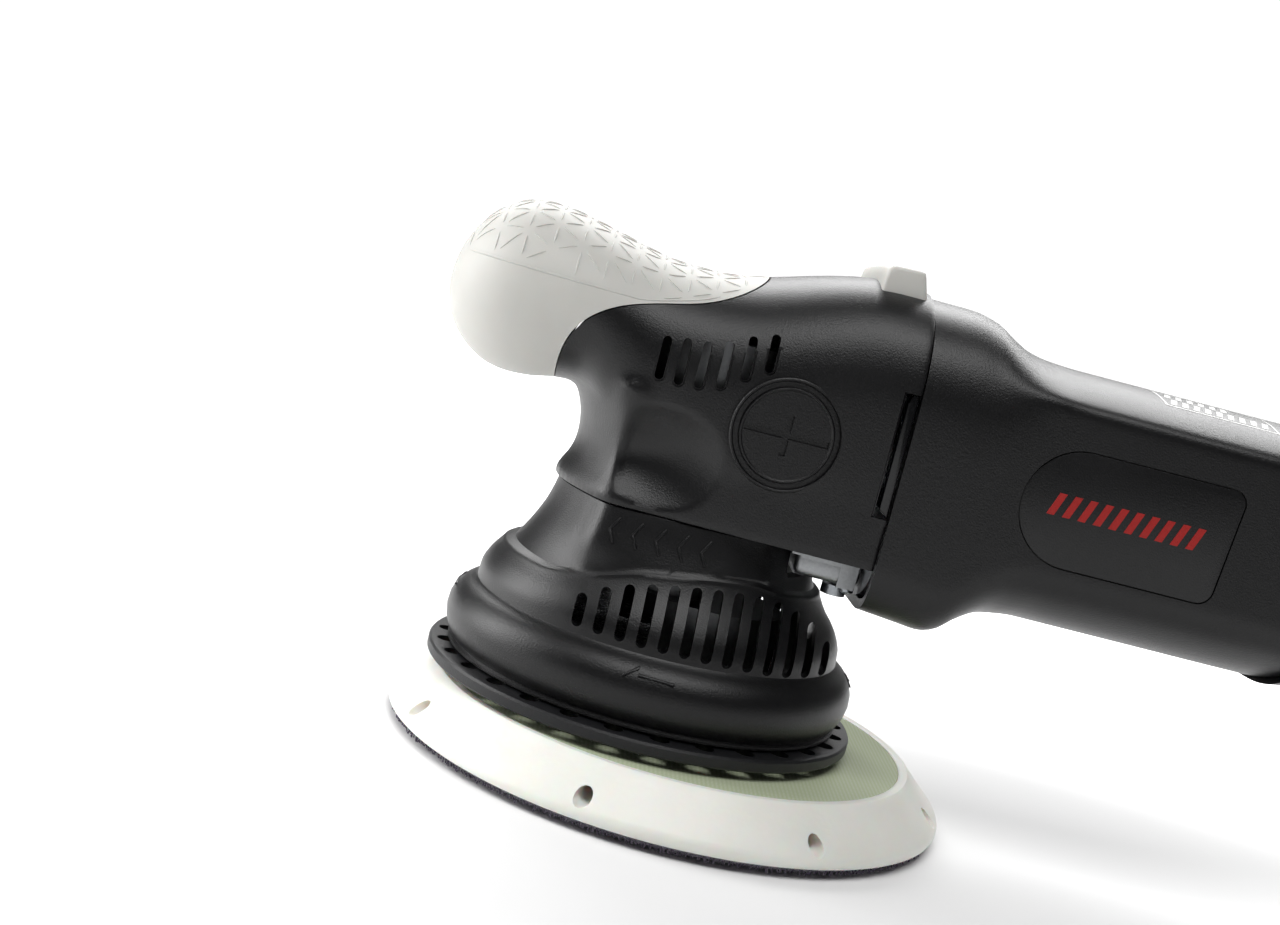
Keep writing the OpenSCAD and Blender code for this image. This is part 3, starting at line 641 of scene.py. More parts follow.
# %% Shroud vents and the notch at the back
vent_tops = [46.8, 49.6, 51.6, 53.0, 54.0, 54.7, 55.1, 55.3, 55.2, 54.3, 52.5, 49.9, 45.6]
vent_feet = [39.2, 39.1, 39.0, 38.9, 38.9, 38.9, 38.7, 38.5, 38.3, 38.0, 37.8, 37.7, 37.7]
bm = bmesh.new()
for i, (top, low) in enumerate(zip(vent_tops, vent_feet)):
    x = -21.3 + 5.3 * i
    prism_y(bm, stadium(x, (low + top) / 2, 2.6, top - low), -70, 70)
carve(shroud, finish_piece("shroud_vent_tool", bm))
bm = bmesh.new()
block(bm, (27, -24.4, 59.8), (50, 24.4, 75))
carve(shroud, finish_piece("notch_tool", bm))
shade(shroud, 30)
place(shroud, "housing", "abs_black", abs_black, "shroud")


# %% [markdown]
# Raised marks show which way the plate turns: a row of chevrons under the seam on each side
# and a thin arrow on each quarter of the bumper. They are thin bent strips laid on the wall.

# %% Raised arrows
def on_bell(x, z):
    """The angle and radius where the wall passes a given x on the near side."""
    angle = math.radians(270)
    for _ in range(12):
        r = bell_radius(angle, z)
        angle = 2 * math.pi - math.acos(max(-1, min(1, x / r)))
    return angle, bell_radius(angle, z)


def mark(bm, path, width, proud, side):
    """Bevelled strips along a path of (x, z), wrapped on the wall on one side."""
    for (xa, za), (xb, zb) in zip(path, path[1:]):
        length = math.dist((xa, za), (xb, zb)) + width * 0.7
        strip = bmesh.ops.create_cube(bm, size=1)["verts"]
        bmesh.ops.scale(bm, vec=(length, 1.2, width), verts=strip)
        edges = list({e for v in strip for e in v.link_edges})
        parts = bmesh.ops.bevel(bm, geom=edges, offset=width * 0.3, affect="EDGES", segments=2,
                                profile=0.5, material=-1)["verts"]
        turn = Matrix.Rotation(-math.atan2(zb - za, xb - xa), 4, "Y")
        bmesh.ops.transform(bm, matrix=Matrix.Translation(((xa + xb) / 2, 0, (za + zb) / 2)) @ turn,
                            verts=parts)
        for v in parts:
            angle, r = on_bell(v.co.x, v.co.z)
            r += proud - 0.6 + v.co.y
            v.co = (r * math.cos(angle), side * r * math.sin(angle), v.co.z)


bm = bmesh.new()
for side in (1, -1):
    for i in range(5):
        x = -18.8 + 5.7 * i
        mark(bm, [(x + 1.9, 65.6), (x, 62.6), (x + 1.5, 59.8)], 0.6, 0.4, side)
arrows = bmesh.new()
for quarter in range(4):
    one = bmesh.new()
    mark(one, [(-7.8, 33.0), (-4.6, 35.2)], 0.55, 0.42, 1)
    mark(one, [(-4.2, 33.8), (4.2, 33.5)], 0.55, 0.42, 1)
    bmesh.ops.rotate(one, verts=one.verts, matrix=Matrix.Rotation(quarter * math.pi / 2, 3, "Z"))
    spare = bpy.data.meshes.new("spare")
    one.to_mesh(spare)
    arrows.from_mesh(spare)
    bpy.data.meshes.remove(spare)
    one.free()
bmesh.ops.recalc_face_normals(bm, faces=bm.faces)
bmesh.ops.recalc_face_normals(arrows, faces=arrows.faces)
chevrons = finish_piece("turn_chevrons", bm, 40)
arrow_marks = finish_piece("turn_arrows", arrows, 40)
place(chevrons, "housing", "abs_black", abs_black)
place(arrow_marks, "housing", "abs_black", abs_black)

# %% [markdown]
# ## Head
# The head is one flowing form: a neck that grows out of the shroud, a boxy cover over the
# gears, and a nose for the front hand. Two simple lofts are overlapped, joined with a voxel
# remesh, and smoothed, which gives the fillets that a moulded shell has. The shell is then
# cut into the black cover and the white grip.

# %% Head form
crown = [(-74, 111.2), (-73.2, 117.6), (-71.2, 123.4), (-67.4, 129.2), (-63, 133.0), (-58.6, 135.2),
         (-53.6, 136.1), (-47, 135.6), (-39.4, 134.1), (-31.8, 132.3), (-24, 130.5), (-16.6, 129.4),
         (-6.4, 129.3), (1.6, 130.4), (9.1, 132.3), (17, 134.6), (25, 136.6), (31, 137.7),
         (36, 138.0), (46.5, 137.7)]
belly = [(-74, 111.2), (-73.0, 105.2), (-70.1, 99.4), (-65.6, 94.9), (-60.1, 91.9), (-54.5, 90.9),
         (-48.5, 91.2), (-42.0, 92.6), (-36, 93.0), (-28, 86), (-18, 76), (-6, 71), (6, 69), (46.5, 69)]
breadth = [(-74, 0.1), (-73.2, 9.5), (-71.2, 15.6), (-67.4, 21.3), (-63, 25.2), (-58.6, 27.8),
           (-53.6, 29.6), (-47, 31.0), (-39, 32.0), (-31, 32.6), (-24, 33.2), (-16, 34.6), (-6, 36.0),
           (4, 37.0), (14, 37.6), (26, 38.0), (46.5, 38.3)]
roof_power = [(-74, 2.0), (-50, 2.1), (-30, 2.12), (-18, 2.15), (-6, 2.25), (6, 2.35), (30, 2.6),
              (46.5, 2.7)]
sill_power = [(-74, 2.0), (-50, 2.15), (-30, 2.3), (-18, 2.6), (-6, 3.2), (6, 4.6), (46.5, 7.0)]


def oval(x, count=112):
    hi, lo = follow(crown, x), follow(belly, x)
    w = follow(breadth, x)
    mid, half = (hi + lo) / 2, max(0.05, (hi - lo) / 2)
    points = []
    for k in range(count):
        a = 2 * math.pi * k / count - math.pi / 2
        c, s = math.cos(a), math.sin(a)
        p = follow(roof_power if s > 0 else sill_power, x)
        points.append((x, w * math.copysign(abs(c) ** (2 / p), c),
                       mid + half * math.copysign(abs(s) ** (2 / p), s)))
    return points


bm = bmesh.new()
stations = ([-73.95, -73.7, -73.2, -72.4, -71.2, -69.6, -67.4, -65.0]
            + [-62.5 + 2.5 * i for i in range(44)])
skin_over(bm, [oval(x) for x in stations if x <= 46.5] + [oval(46.5)])

# %% [markdown]
# The neck is lofted upwards. Its front is rounded and pinched at the waist, a ridge runs up
# each side where the flat flank starts, and a lip turns out at the foot.

# %% Neck form
waist = [(67.0, 34.4), (67.9, 35.4), (69.4, 36.0), (71.0, 35.7), (72.8, 34.6), (75.6, 33.2), (79.5, 32.4),
         (84.4, 32.8), (89.0, 34.2), (93.0, 36.4), (97.0, 39.0)]


def neck_plan(z):
    r = follow(waist, z)
    pinch = 1 + 0.03 * ease(71, 78, z) * (1 - ease(86, 94, z))
    arc = []
    for a in range(180, 118, -3):
        reach = r * follow(neck_shape, 180 - a) * (1 + (pinch - 1) * (180 - a) / 60)
        arc.append((reach * math.sin(math.radians(a)), reach * math.cos(math.radians(a))))
    flank = [(35.2, -10), (35.6, -3), (36.2, 4), (37.1, 14), (37.8, 28), (38.2, 46.5), (0, 46.5)]
    tuck = 1 - 0.07 * ease(88, 98, z)
    return [(x, y * tuck, z) for y, x in outline(arc + flank, 150, 1)]


heights = [67.0, 67.5, 68.2, 69.4, 70.6, 71.6, 72.8, 74.4] + [76 + 2 * i for i in range(8)] + [94, 98]
skin_over(bm, [neck_plan(z) for z in heights])
head = finish_piece("head_form", bm)
mix = head.modifiers.new("join", "REMESH")
mix.mode = "VOXEL"
mix.voxel_size = 1.15 * MM
applied(head)
print("head form", len(head.data.polygons), "faces")

# %% [markdown]
# Smoothing melts the joints between the two forms. The finger scoop behind the neck is then
# pressed in: a dished pocket with a firm rim behind and below, open to the ridge in front.

# %% Smooth the head and press in the finger scoops
bm = bmesh.new()
bm.from_mesh(head.data)
bmesh.ops.scale(bm, vec=(1000, 1000, 1000), verts=bm.verts)
for _ in range(7):
    bmesh.ops.smooth_vert(bm, verts=bm.verts, factor=0.5, use_axis_x=True, use_axis_y=True,
                          use_axis_z=True)
scoop_x, scoop_z = -11.5, 82.4
for vert in bm.verts:
    x, y, z = vert.co
    if abs(y) > 14 and -24 < x < 7 and 66 < z < 99:
        reach = (abs((x - scoop_x) / 15.2) ** 2.2 + abs((z - scoop_z) / 12.6) ** 2.2) ** (1 / 2.2)
        press = 4.6 * max(0.0, 1 - reach ** 1.7) * ease(-22.2, -18.4, x)
        vert.co.y -= math.copysign(press, y)
print("head spans", round(min(v.co.x for v in bm.verts), 1), round(max(v.co.z for v in bm.verts), 1))

# %% [markdown]
# The form is opened at the seam and at the foot, given a 2.7 mm wall, and split along the
# curve where the rubber ends. A thin gap along that curve draws the joint.

# %% Open the shell and split the grip from the cover
for point, normal in (((seam_x, 0, 0), (1, 0, 0)), ((0, 0, 68.6), (0, 0, -1))):
    bmesh.ops.bisect_plane(bm, geom=bm.verts[:] + bm.edges[:] + bm.faces[:], dist=0.0005,
                           plane_co=point, plane_no=normal, clear_outer=True)
bpy.data.objects.remove(head)
head = finish_piece("head_cover_shell", bm)
walled(head, 2.7)

rubber_edge = [(-41.6, 88.0), (-41.4, 95.4), (-41.1, 101.0), (-39.3, 107.0), (-35.2, 111.7),
               (-30.0, 114.9), (-25.0, 116.7), (-18.5, 118.4), (-12.9, 119.6), (-7.4, 121.4),
               (-1.6, 124.4), (3.2, 128.0), (6.2, 131.2), (9.4, 136.0)]


def rubber_region(gap):
    """Everything above and in front of the rubber's edge."""
    bm = bmesh.new()
    fine = []
    for i in range(len(rubber_edge) - 1):
        for k in range(4):
            t = k / 4
            fine.append([rubber_edge[i][j] + (rubber_edge[i + 1][j] - rubber_edge[i][j]) * t
                         for j in (0, 1)])
    fine.append(list(rubber_edge[-1]))
    for _ in range(5):
        fine = [fine[0]] + [[(a[j] + 2 * b[j] + c[j]) / 4 for j in (0, 1)]
                            for a, b, c in zip(fine, fine[1:], fine[2:])] + [fine[-1]]
    fine = [(x - 0.7 * gap, z + 0.7 * gap) for x, z in fine]
    prism_y(bm, fine + [(9.4, 160), (-90, 160), (-90, 88 + 0.7 * gap)], -60, 60)
    return finish_piece("rubber_region", bm)


grip = head.copy()
grip.data = head.data.copy()
grip.name = "front_grip_rubber"
bpy.context.scene.collection.objects.link(grip)
carve(grip, rubber_region(0.35), "INTERSECT")
carve(head, rubber_region(0.0))

# %% [markdown]
# Six upright vents a side let the fan's air out. Each has a slightly wider, shallow mouth, so
# its edge catches light as a moulded edge does.

# %% Where the cover's wall is
from mathutils.bvhtree import BVHTree


def wall_finder(piece):
    """Gives a function that finds the outer wall along any ray, in millimetres."""
    tree = BVHTree.FromPolygons([v.co / MM for v in piece.data.vertices],
                                [tuple(p.vertices) for p in piece.data.polygons])

    def find(start, towards):
        hit, normal, _, _ = tree.ray_cast(Vector(start), Vector(towards).normalized())
        return hit, normal
    return find


cover_wall = wall_finder(head)
grip_wall = wall_finder(grip)


def side_y(x, z):
    hit, _ = cover_wall((x, -80, z), (0, 1, 0))
    return -hit.y


print("side wall at the cap:", [round(side_y(x, 95.3), 2) for x in (4, 16.5, 29)])

# %% Cover vents
cover_vents = [(-16.6, 100.5, 111.2), (-11.8, 100.4, 111.8), (-6.9, 100.8, 112.3), (-1.8, 102.0, 113.7),
               (3.4, 105.5, 116.2), (8.6, 108.6, 118.0)]
for width, deep in ((2.15, 20.0), (3.1, 0.55)):
    bm = bmesh.new()
    for side in (1, -1):
        for x, low, high in cover_vents:
            wall_y = side_y(x, (low + high) / 2)
            prism_y(bm, stadium(x, (low + high) / 2, width, high - low + width - 2.15),
                    side * (wall_y - deep), side * 50)
    carve(head, finish_piece("cover_vent_tool", bm))

# %% [markdown]
# A screw-in cap closes each end of the upper shaft. It sits in a round hole, with a bead round
# it, a groove, and a raised rim round the face. A coin slot crosses the face.

# %% Holes for the side caps and windows for the latches
cap_x, cap_z = plug_x + 0.8, plug_z
cap_y = side_y(cap_x, cap_z)
cap_turn = math.atan2(side_y(cap_x + 12, cap_z) - side_y(cap_x - 12, cap_z), 24)
for side in (1, -1):
    bm = bmesh.new()
    hole = bmesh.ops.create_cone(bm, cap_ends=True, segments=96, radius1=13.2, radius2=13.2, depth=20)
    bmesh.ops.rotate(bm, verts=hole["verts"], matrix=Matrix.Rotation(math.pi / 2, 3, "X"))
    bmesh.ops.translate(bm, verts=hole["verts"], vec=(cap_x, side * (cap_y + 4), cap_z))
    carve(head, finish_piece("cap_tool", bm))
bm = bmesh.new()
for side in (1, -1):
    block(bm, (41.2, 34.4 if side > 0 else -50, 81.4), (47, 50 if side > 0 else -34.4, 112.4))
carve(head, finish_piece("latch_tool", bm))
shade(head, 30)
shade(grip, 30)
place(head, "housing", "abs_black", abs_black, "head_cover")
place(grip, "housing", "rubber_white", rubber_white, "front_grip")

# %% Side caps with a cross slot
bm = bmesh.new()
cap_profile = [(13.1, -3.2), (13.1, -0.6), (13.95, -0.3), (13.9, 0.15), (13.65, 0.38), (13.3, 0.38),
               (13.05, 0.15), (12.9, -0.5), (11.75, -0.5), (11.6, 0.1), (11.35, 0.32), (11.05, 0.32),
               (10.85, 0.12), (10.75, 0.0), (0.001, 0.0), (0.001, -3.2)]
spun(bm, cap_profile, 128)
side_cap = finish_piece("side_cap_right", bm, 40)
for lo, hi in (((-10.5, -0.85, -0.7), (10.5, 0.85, 3)), ((-0.75, -5.0, -0.7), (0.75, 5.0, 3))):
    bm = bmesh.new()
    block(bm, lo, hi)
    carve(side_cap, finish_piece("cross_tool", bm), solver="EXACT")
far_cap = side_cap.copy()
far_cap.data = side_cap.data.copy()
far_cap.name = "side_cap_left"
bpy.context.scene.collection.objects.link(far_cap)
for cap, side in ((side_cap, -1), (far_cap, 1)):
    face_out = Matrix.Rotation(-side * math.pi / 2, 4, "X")
    lean = Matrix.Rotation(-side * cap_turn, 4, "Z")
    cap.data.transform(Matrix.Translation((cap_x * MM, side * cap_y * MM, cap_z * MM)) @ lean @ face_out)
    shade(cap, 35)
    place(cap, "housing", "abs_black", abs_black, "side_plugs")

# %% [markdown]
# The latch windows show a glossy clip that holds the cover to the motor barrel.

# %% Latch clips
bm = bmesh.new()
for side in (1, -1):
    prism_y(bm, [(42.9, 83.5), (45.3, 81.6), (45.3, 112.2), (43.6, 112.2), (42.9, 110)],
            side * 33.5, side * 36.6)
    prism_y(bm, [(41.3, 81.6), (41.75, 81.6), (41.75, 112.2), (41.3, 112.2)], side * 33.0, side * 37.7)
blunt(bm, 0.3, 2, 50)
clips = finish_piece("cover_clips", bm, 40)
place(clips, "housing", "plastic_gloss", abs_smooth, "latch_clips")

# %% [markdown]
# Under the cover's back edge the gearbox casting shows as a bare metal bar, with the heads of
# two small screws below it.

# %% Casting bar and screws
bm = bmesh.new()
block(bm, (28.5, -23.9, 61.0), (45.4, 23.9, 68.2))
blunt(bm, 2.0, 4)
casting = finish_piece("gearbox_bar", bm, 40)
place(casting, "housing", "aluminium", cast_aluminium)
bm = bmesh.new()
for side in (1, -1):
    spun(bm, [(0.001, 58.9), (1.4, 59.0), (2.1, 59.5), (2.3, 60.2), (2.3, 61.2), (0.001, 61.2)], 24,
         (43.0, side * 20.5, 0), closed=False)
bar_screws = finish_piece("bar_screws", bm, 35)
place(bar_screws, "housing", "zinc_steel", zinc_plate)

# %% [markdown]
# ## Grip pattern
# Fine raised lines cover the top of the rubber for grip: a triangular lattice whose lines stop
# short of each crossing. One longer line runs along the side, then follows the rubber's edge.
# Each line is a thin strip, laid on the rubber by casting rays at it, so it follows the curve.

# %% Strips laid on the rubber
def rubber_point(x, around):
    """A point on the rubber and its normal, by a ray out from the grip's own axis."""
    core = Vector((x, 0, (follow(crown, x) + follow(belly, x)) / 2))
    out = Vector((0, -math.cos(around), math.sin(around)))
    hit, normal = grip_wall(core + out * 70, -out)
    return hit, normal


def strip_on(bm, stops, width, proud):
    """A low roof-shaped strip through points that carry their normals."""
    rows = []
    for i, (place_at, normal) in enumerate(stops):
        ahead = stops[min(i + 1, len(stops) - 1)][0] - stops[max(i - 1, 0)][0]
        across = normal.cross(ahead).normalized() * width / 2
        taper = 0.35 if i in (0, len(stops) - 1) else 1.0
        rows.append([bm.verts.new(place_at - across * taper - normal * 0.15),
                     bm.verts.new(place_at - across * 0.4 * taper + normal * proud * taper),
                     bm.verts.new(place_at + across * 0.4 * taper + normal * proud * taper),
                     bm.verts.new(place_at + across * taper - normal * 0.15)])
    for a, b in zip(rows, rows[1:]):
        for k in range(4):
            bm.faces.new((a[k], a[(k + 1) % 4], b[(k + 1) % 4], b[k]))
    bm.faces.new(rows[0][::-1])
    bm.faces.new(rows[-1])


def in_pattern(hit):
    edge_z = follow([(x, z) for x, z in rubber_edge[2:]], hit.x)
    low = max(119.6, edge_z + 1.2) if hit.x > -69 else 119.6
    return hit.z > low and hit.x < 6.5


pitch = 8.0
bm = bmesh.new()
drawn = 0
for i in range(-10, 3):
    for j in range(-9, 10):
        x = pitch * 0.866 * i - 0.5
        t = pitch * (j + 0.5 * (i % 2))
        for step_x, step_t in ((0, 1.0), (0.866, 0.5), (0.866, -0.5)):
            stops = []
            for share in (0.2, 0.35, 0.5, 0.65, 0.8):
                xs, ts = x + pitch * step_x * share, t + pitch * step_t * share
                if not -71 < xs < 8:
                    continue
                girth = max(8.0, (follow(crown, xs) - follow(belly, xs)) / 2 * 1.05 if xs < -36 else 26.0)
                hit, normal = rubber_point(xs, math.pi / 2 + ts / girth)
                if hit is not None and in_pattern(hit):
                    stops.append((hit, normal))
            if len(stops) == 5:
                strip_on(bm, stops, 0.75, 0.22)
                drawn += 1
print("lattice lines", drawn)

# %% The side line
side_line = ([(-70 + 2 * i, 119.2 - 0.054 * i) for i in range(23)]
             + [(-23.0, 118.4), (-20.0, 119.0), (-16.0, 120.0), (-12.5, 120.9), (-9.5, 121.9),
                (-6.5, 123.3)])
for side in (1, -1):
    stops = []
    for x, z in side_line:
        hit, normal = grip_wall((x, -side * 80, z), (0, side, 0))
        if hit is not None:
            stops.append((hit, normal))
    strip_on(bm, stops, 0.8, 0.22)
bmesh.ops.recalc_face_normals(bm, faces=bm.faces)
grip_lines = finish_piece("grip_lines", bm, 50)
place(grip_lines, "housing", "rubber_white", rubber_white)

# %% [markdown]
# ## Rest bumper
# A soft white block across the top at the seam. Its sides are trimmed square and its top is
# slightly crowned, so the tool can be laid down on it.

# %% Rest bumper
def bumper_ring(y, inset):
    top = bumper_hi.z - 0.3 - 0.5 * (y / 20) ** 2 - inset
    x0, x1 = 32.0 + inset, 44.0 - inset
    return [(x0, y, 131.0), (x0, y, top - 3.0), (x0 + 0.35, y, top - 1.2), (x0 + 1.2, y, top - 0.25),
            (x0 + 2.2, y, top), (x1 - 3.4, y, top + 0.2), (x1 - 2.4, y, top), (x1 - 2.0, y, top - 0.9),
            (x1, y, 134.0), (x1, y, 131.0)]


bm = bmesh.new()
skin_over(bm, [bumper_ring(y, inset) for y, inset in
               ((-21.0, 1.0), (-20.9, 0.5), (-20.6, 0.2), (-20.0, 0), (-10, 0), (0, 0), (10, 0), (20.0, 0),
                (20.6, 0.2), (20.9, 0.5), (21.0, 1.0))])
bumper = finish_piece("rest_block", bm, 35)
place(bumper, "housing", "rubber_white", rubber_white, "rest_bumper")

# %% [markdown]
# ## Motor barrel
# A collar meets the head at the seam, then the form tapers to a barrel with flat sides, a
# shallow arched top and a full round bottom. The flat side and the arched top meet in a crisp
# line. The loft runs along the motor's axis.

# %% Barrel outline along the body
barrel_top = [(45.6, 136.4), (58, 136.2), (64, 135.0), (69, 132.2), (74.3, 129.8), (81, 128.5),
              (90, 128.0), (112, 127.9), (150, 127.8), (170, 127.8)]
barrel_edge = [(45.6, 129.0), (57, 130.2), (60, 129.3), (64.2, 126.4), (70.8, 122.2), (78.5, 119.9),
               (88.6, 119.4), (150, 119.0), (170, 119.0)]
barrel_foot = [(45.6, 56.4), (56, 55.4), (61.5, 54.9), (65.0, 55.3), (69.6, 57.6), (79.2, 60.4),
               (89, 61.6), (116, 61.6), (170, 61.5)]
barrel_width = [(45.6, 38.5), (60, 38.5), (68, 38.0), (76, 36.9), (84, 36.1), (90, 36.0), (136, 36.0),
                (143, 35.5), (150, 34.6), (170, 33.6)]


def collar_half(x):
    """The head's own outline, a little smaller: square at the foot, round over the top."""
    top, foot, w = follow(barrel_top, x), follow(barrel_foot, x), follow(barrel_width, x)
    roof = []
    for i in range(1, 13):
        a = math.pi / 2 * i / 12
        roof.append((w * math.cos(a) ** 0.74, 103.5 + (top - 103.5) * math.sin(a) ** 0.74))
    return [(0, foot), (w - 11, foot + 0.4), (w - 5, foot + 2.2), (w - 1.6, foot + 5.6), (w, foot + 11),
            (w, 103.5)] + roof


def barrel_half(x):
    """Flat sides over a round bowl, with a low arch on top."""
    top, edge = follow(barrel_top, x), follow(barrel_edge, x)
    foot, w = follow(barrel_foot, x), follow(barrel_width, x)
    bowl = [((w - 0.35) * math.sin(a), foot + 15.5 * (1 - math.cos(a)))
            for a in [math.radians(i * 7.5) for i in range(12)]]
    arch = [(w * (1 - i / 8), edge + (top - edge) * (1 - (1 - i / 8) ** 2.3)) for i in range(1, 9)]
    return bowl + [(w - 0.35, foot + 15.4), (w, foot + 16.0), (w, edge)] + arch


def barrel_section(x, count=230, soften=4):
    turn = ease(61, 80, x)
    a = outline(collar_half(x), count, soften + 3)
    b = outline(barrel_half(x), count, soften)
    return [(x, p[0] + (q[0] - p[0]) * turn, p[1] + (q[1] - p[1]) * turn) for p, q in zip(a, b)]


bm = bmesh.new()
places = [45.65, 45.9] + [46.8 + 1.6 * i for i in range(30)] + [95 + 4 * i for i in range(18)] + [166]
skin_over(bm, [barrel_section(x) for x in places], cap=False)
barrel = finish_piece("motor_barrel", bm, 25)
walled(barrel, 2.6)

# %% [markdown]
# The barrel ends in a bowed edge that the handle laps. The side panel sits in a shallow pocket,
# so a thin dark line runs round it.

# %% Cut the barrel's back edge and the panel pockets
def arc_points(cx, cz, r, a0, a1, steps):
    return [(cx + r * math.cos(math.radians(a0 + (a1 - a0) * i / steps)),
             cz + r * math.sin(math.radians(a0 + (a1 - a0) * i / steps))) for i in range(steps + 1)]


def panel_outline(grow):
    left = arc_points(90, 94.8, 14.5 + grow, 90, 270, 28)
    return (left + arc_points(123.6, 84.0, 3.7 + grow, 270, 355, 6)
            + arc_points(125.2, 105.6, 3.7 + grow, 5, 90, 6))


def behind_seam():
    bm = bmesh.new()
    bow = arc_points(102, 94, 60, -33, 57, 40)
    prism_y(bm, [(129, 20), (134, 40)] + bow + [(128, 160), (230, 160), (230, 20)], -70, 70)
    return finish_piece("seam_tool", bm)


carve(barrel, behind_seam())
bm = bmesh.new()
for side in (1, -1):
    prism_y(bm, panel_outline(0.3), side * 35.1, side * 50)
carve(barrel, finish_piece("panel_tool", bm))
shade(barrel, 25)
place(barrel, "housing", "abs_black", abs_black, "motor_housing")

# %% Side panels
bm = bmesh.new()
for side in (1, -1):
    prism_y(bm, panel_outline(0.0), side * 35.12, side * 36.02)
blunt(bm, 0.22, 2, 50)
panels = finish_piece("side_panels", bm, 30)
place(panels, "housing", "plastic_gloss", abs_black, "side_badges")

# %% [markdown]
# The panel carries a plain red graphic: an even row of equal slanted bars.
# A white outlined box with slanted hatching is printed on the crown.

# %% Red bars on the panels
bm = bmesh.new()
for side in (1, -1):
    for i in range(10):
        x = 82.4 + 3.9 * i
        prism_y(bm, [(x, 92.6), (x + 1.9, 92.6), (x + 3.9, 98.2), (x + 2.0, 98.2)],
                side * 35.95, side * 36.1)
red_bars = finish_piece("red_bars", bm, 30)
place(red_bars, "housing", "plastic_red", red_abs)

# %% Printed box on the crown
barrel_wall = wall_finder(barrel)
white_print = moulded("white_pad_print", "D8D8D6", "E6E6E4", 0.4, 0.45, 0.1)


def printed(bm, x0, x1, y0, y1, slant=0.0):
    """A thin patch of ink that follows the crown."""
    patch = bmesh.ops.create_grid(bm, x_segments=2, y_segments=4, size=0.5)["verts"]
    for v in patch:
        u, w = v.co.x + 0.5, v.co.y + 0.5
        y = y0 + (y1 - y0) * w
        x = x0 + (x1 - x0) * u + slant * (w - 0.5)
        hit, _ = barrel_wall((x, y, 200), (0, 0, -1))
        v.co = (x, y, hit.z + 0.05)


bm = bmesh.new()
for x0, x1, y0, y1 in ((108, 138, -22, -21.4), (108, 138, -8.6, -8.0), (108, 108.6, -22, -8),
                       (137.4, 138, -22, -8)):
    printed(bm, x0, x1, y0, y1)
for row, (y0, y1) in enumerate(((-20.4, -15.6), (-14.4, -9.6))):
    for i in range(9 - 3 * row):
        printed(bm, 110.4 + 3.0 * i, 112.0 + 3.0 * i, y0, y1, 1.4)
bmesh.ops.recalc_face_normals(bm, faces=bm.faces)
for face in bm.faces:
    if face.normal.z < 0:
        face.normal_flip()
crown_print = finish_piece("crown_print", bm, 30)
place(crown_print, "housing", "rubber_white", white_print, "top_label")

# %% [markdown]
# ## Handle
# Two shells behind the barrel: a slim grip, then a tail that swells to a heel the tool rests
# on. They are one loft, split down the middle.

# %% Handle form
handle_top = [(126, 127.8), (150, 127.8), (165, 126.2), (182, 123.2), (200, 121.4), (240, 120.0),
              (300, 117.3), (334, 116.6), (342, 114.5), (346.5, 110.5), (348, 105)]
handle_foot = [(126, 61.5), (150, 61.5), (165, 63.6), (182, 67.2), (200, 69.4), (240, 69.2), (290, 66.6),
               (318, 63.4), (334, 62.4), (342, 64.0), (346.5, 67.5), (348, 73)]
handle_width = [(126, 36.0), (136, 35.9), (143, 35.4), (150, 34.5), (165, 32.4), (182, 29.4),
                (200, 27.4), (240, 26.6), (300, 28.0), (334, 30.6), (342, 29.2), (346.5, 25.4), (348, 20)]


def handle_section(x, count=128):
    hi, lo, w = follow(handle_top, x), follow(handle_foot, x), follow(handle_width, x)
    p = 4.2 - 1.5 * ease(150, 195, x) + 0.7 * ease(290, 335, x)
    mid, half = (hi + lo) / 2, (hi - lo) / 2
    points = []
    for k in range(count):
        a = 2 * math.pi * k / count - math.pi / 2
        c, s = math.cos(a), math.sin(a)
        points.append((x, w * math.copysign(abs(c) ** (2 / p), c),
                       mid + half * math.copysign(abs(s) ** (2 / p), s)))
    return points


bm = bmesh.new()
spots = [130 + 3.0 * i for i in range(68)] + [333, 336, 339, 342, 344.5, 346.3, 347.4, 348]
skin_over(bm, [handle_section(x) for x in spots], cap=False)
rim = [e for e in bm.edges if e.is_boundary and e.verts[0].co.x > 300]
bmesh.ops.contextual_create(bm, geom=rim)
bmesh.ops.recalc_face_normals(bm, faces=bm.faces)
shell = finish_piece("handle_form", bm, 30)
walled(shell, 2.6)
print("handle form", len(shell.data.polygons), "faces")

# %% Cut the handle's openings
bm = bmesh.new()
prism_y(bm, [(110, 20), (134.3, 40)] + arc_points(102.3, 94, 60, -33, 57, 40)
        + [(128, 160), (110, 160)], -70, 70)
carve(shell, finish_piece("front_tool", bm))
bm = bmesh.new()
block(bm, (187, -12.4, 50), (265.4, 12.4, 88))
blunt(bm, 2.0, 3)
carve(shell, finish_piece("trigger_tool", bm))
bm = bmesh.new()
block(bm, (302, -4.2, 105), (323, 4.2, 130))
carve(shell, finish_piece("dial_tool", bm))
bm = bmesh.new()
for y0, y1 in ((15, 50), (-50, -15)):
    for i in range(7):
        prism_y(bm, stadium(167 + 4.4 * i, 94, 2.1, 22), y0, y1)
hole = bmesh.ops.create_cone(bm, cap_ends=True, segments=48, radius1=6.3, radius2=6.3, depth=30)
bmesh.ops.rotate(bm, verts=hole["verts"], matrix=Matrix.Rotation(math.pi / 2, 3, "X"))
bmesh.ops.translate(bm, verts=hole["verts"], vec=(276, 30, 96))
hole = bmesh.ops.create_cone(bm, cap_ends=True, segments=48, radius1=8.6, radius2=8.6, depth=30)
bmesh.ops.rotate(bm, verts=hole["verts"], matrix=Matrix.Rotation(math.pi / 2, 3, "Y"))
bmesh.ops.translate(bm, verts=hole["verts"], vec=(352, 0, 92))
carve(shell, finish_piece("handle_hole_tool", bm))

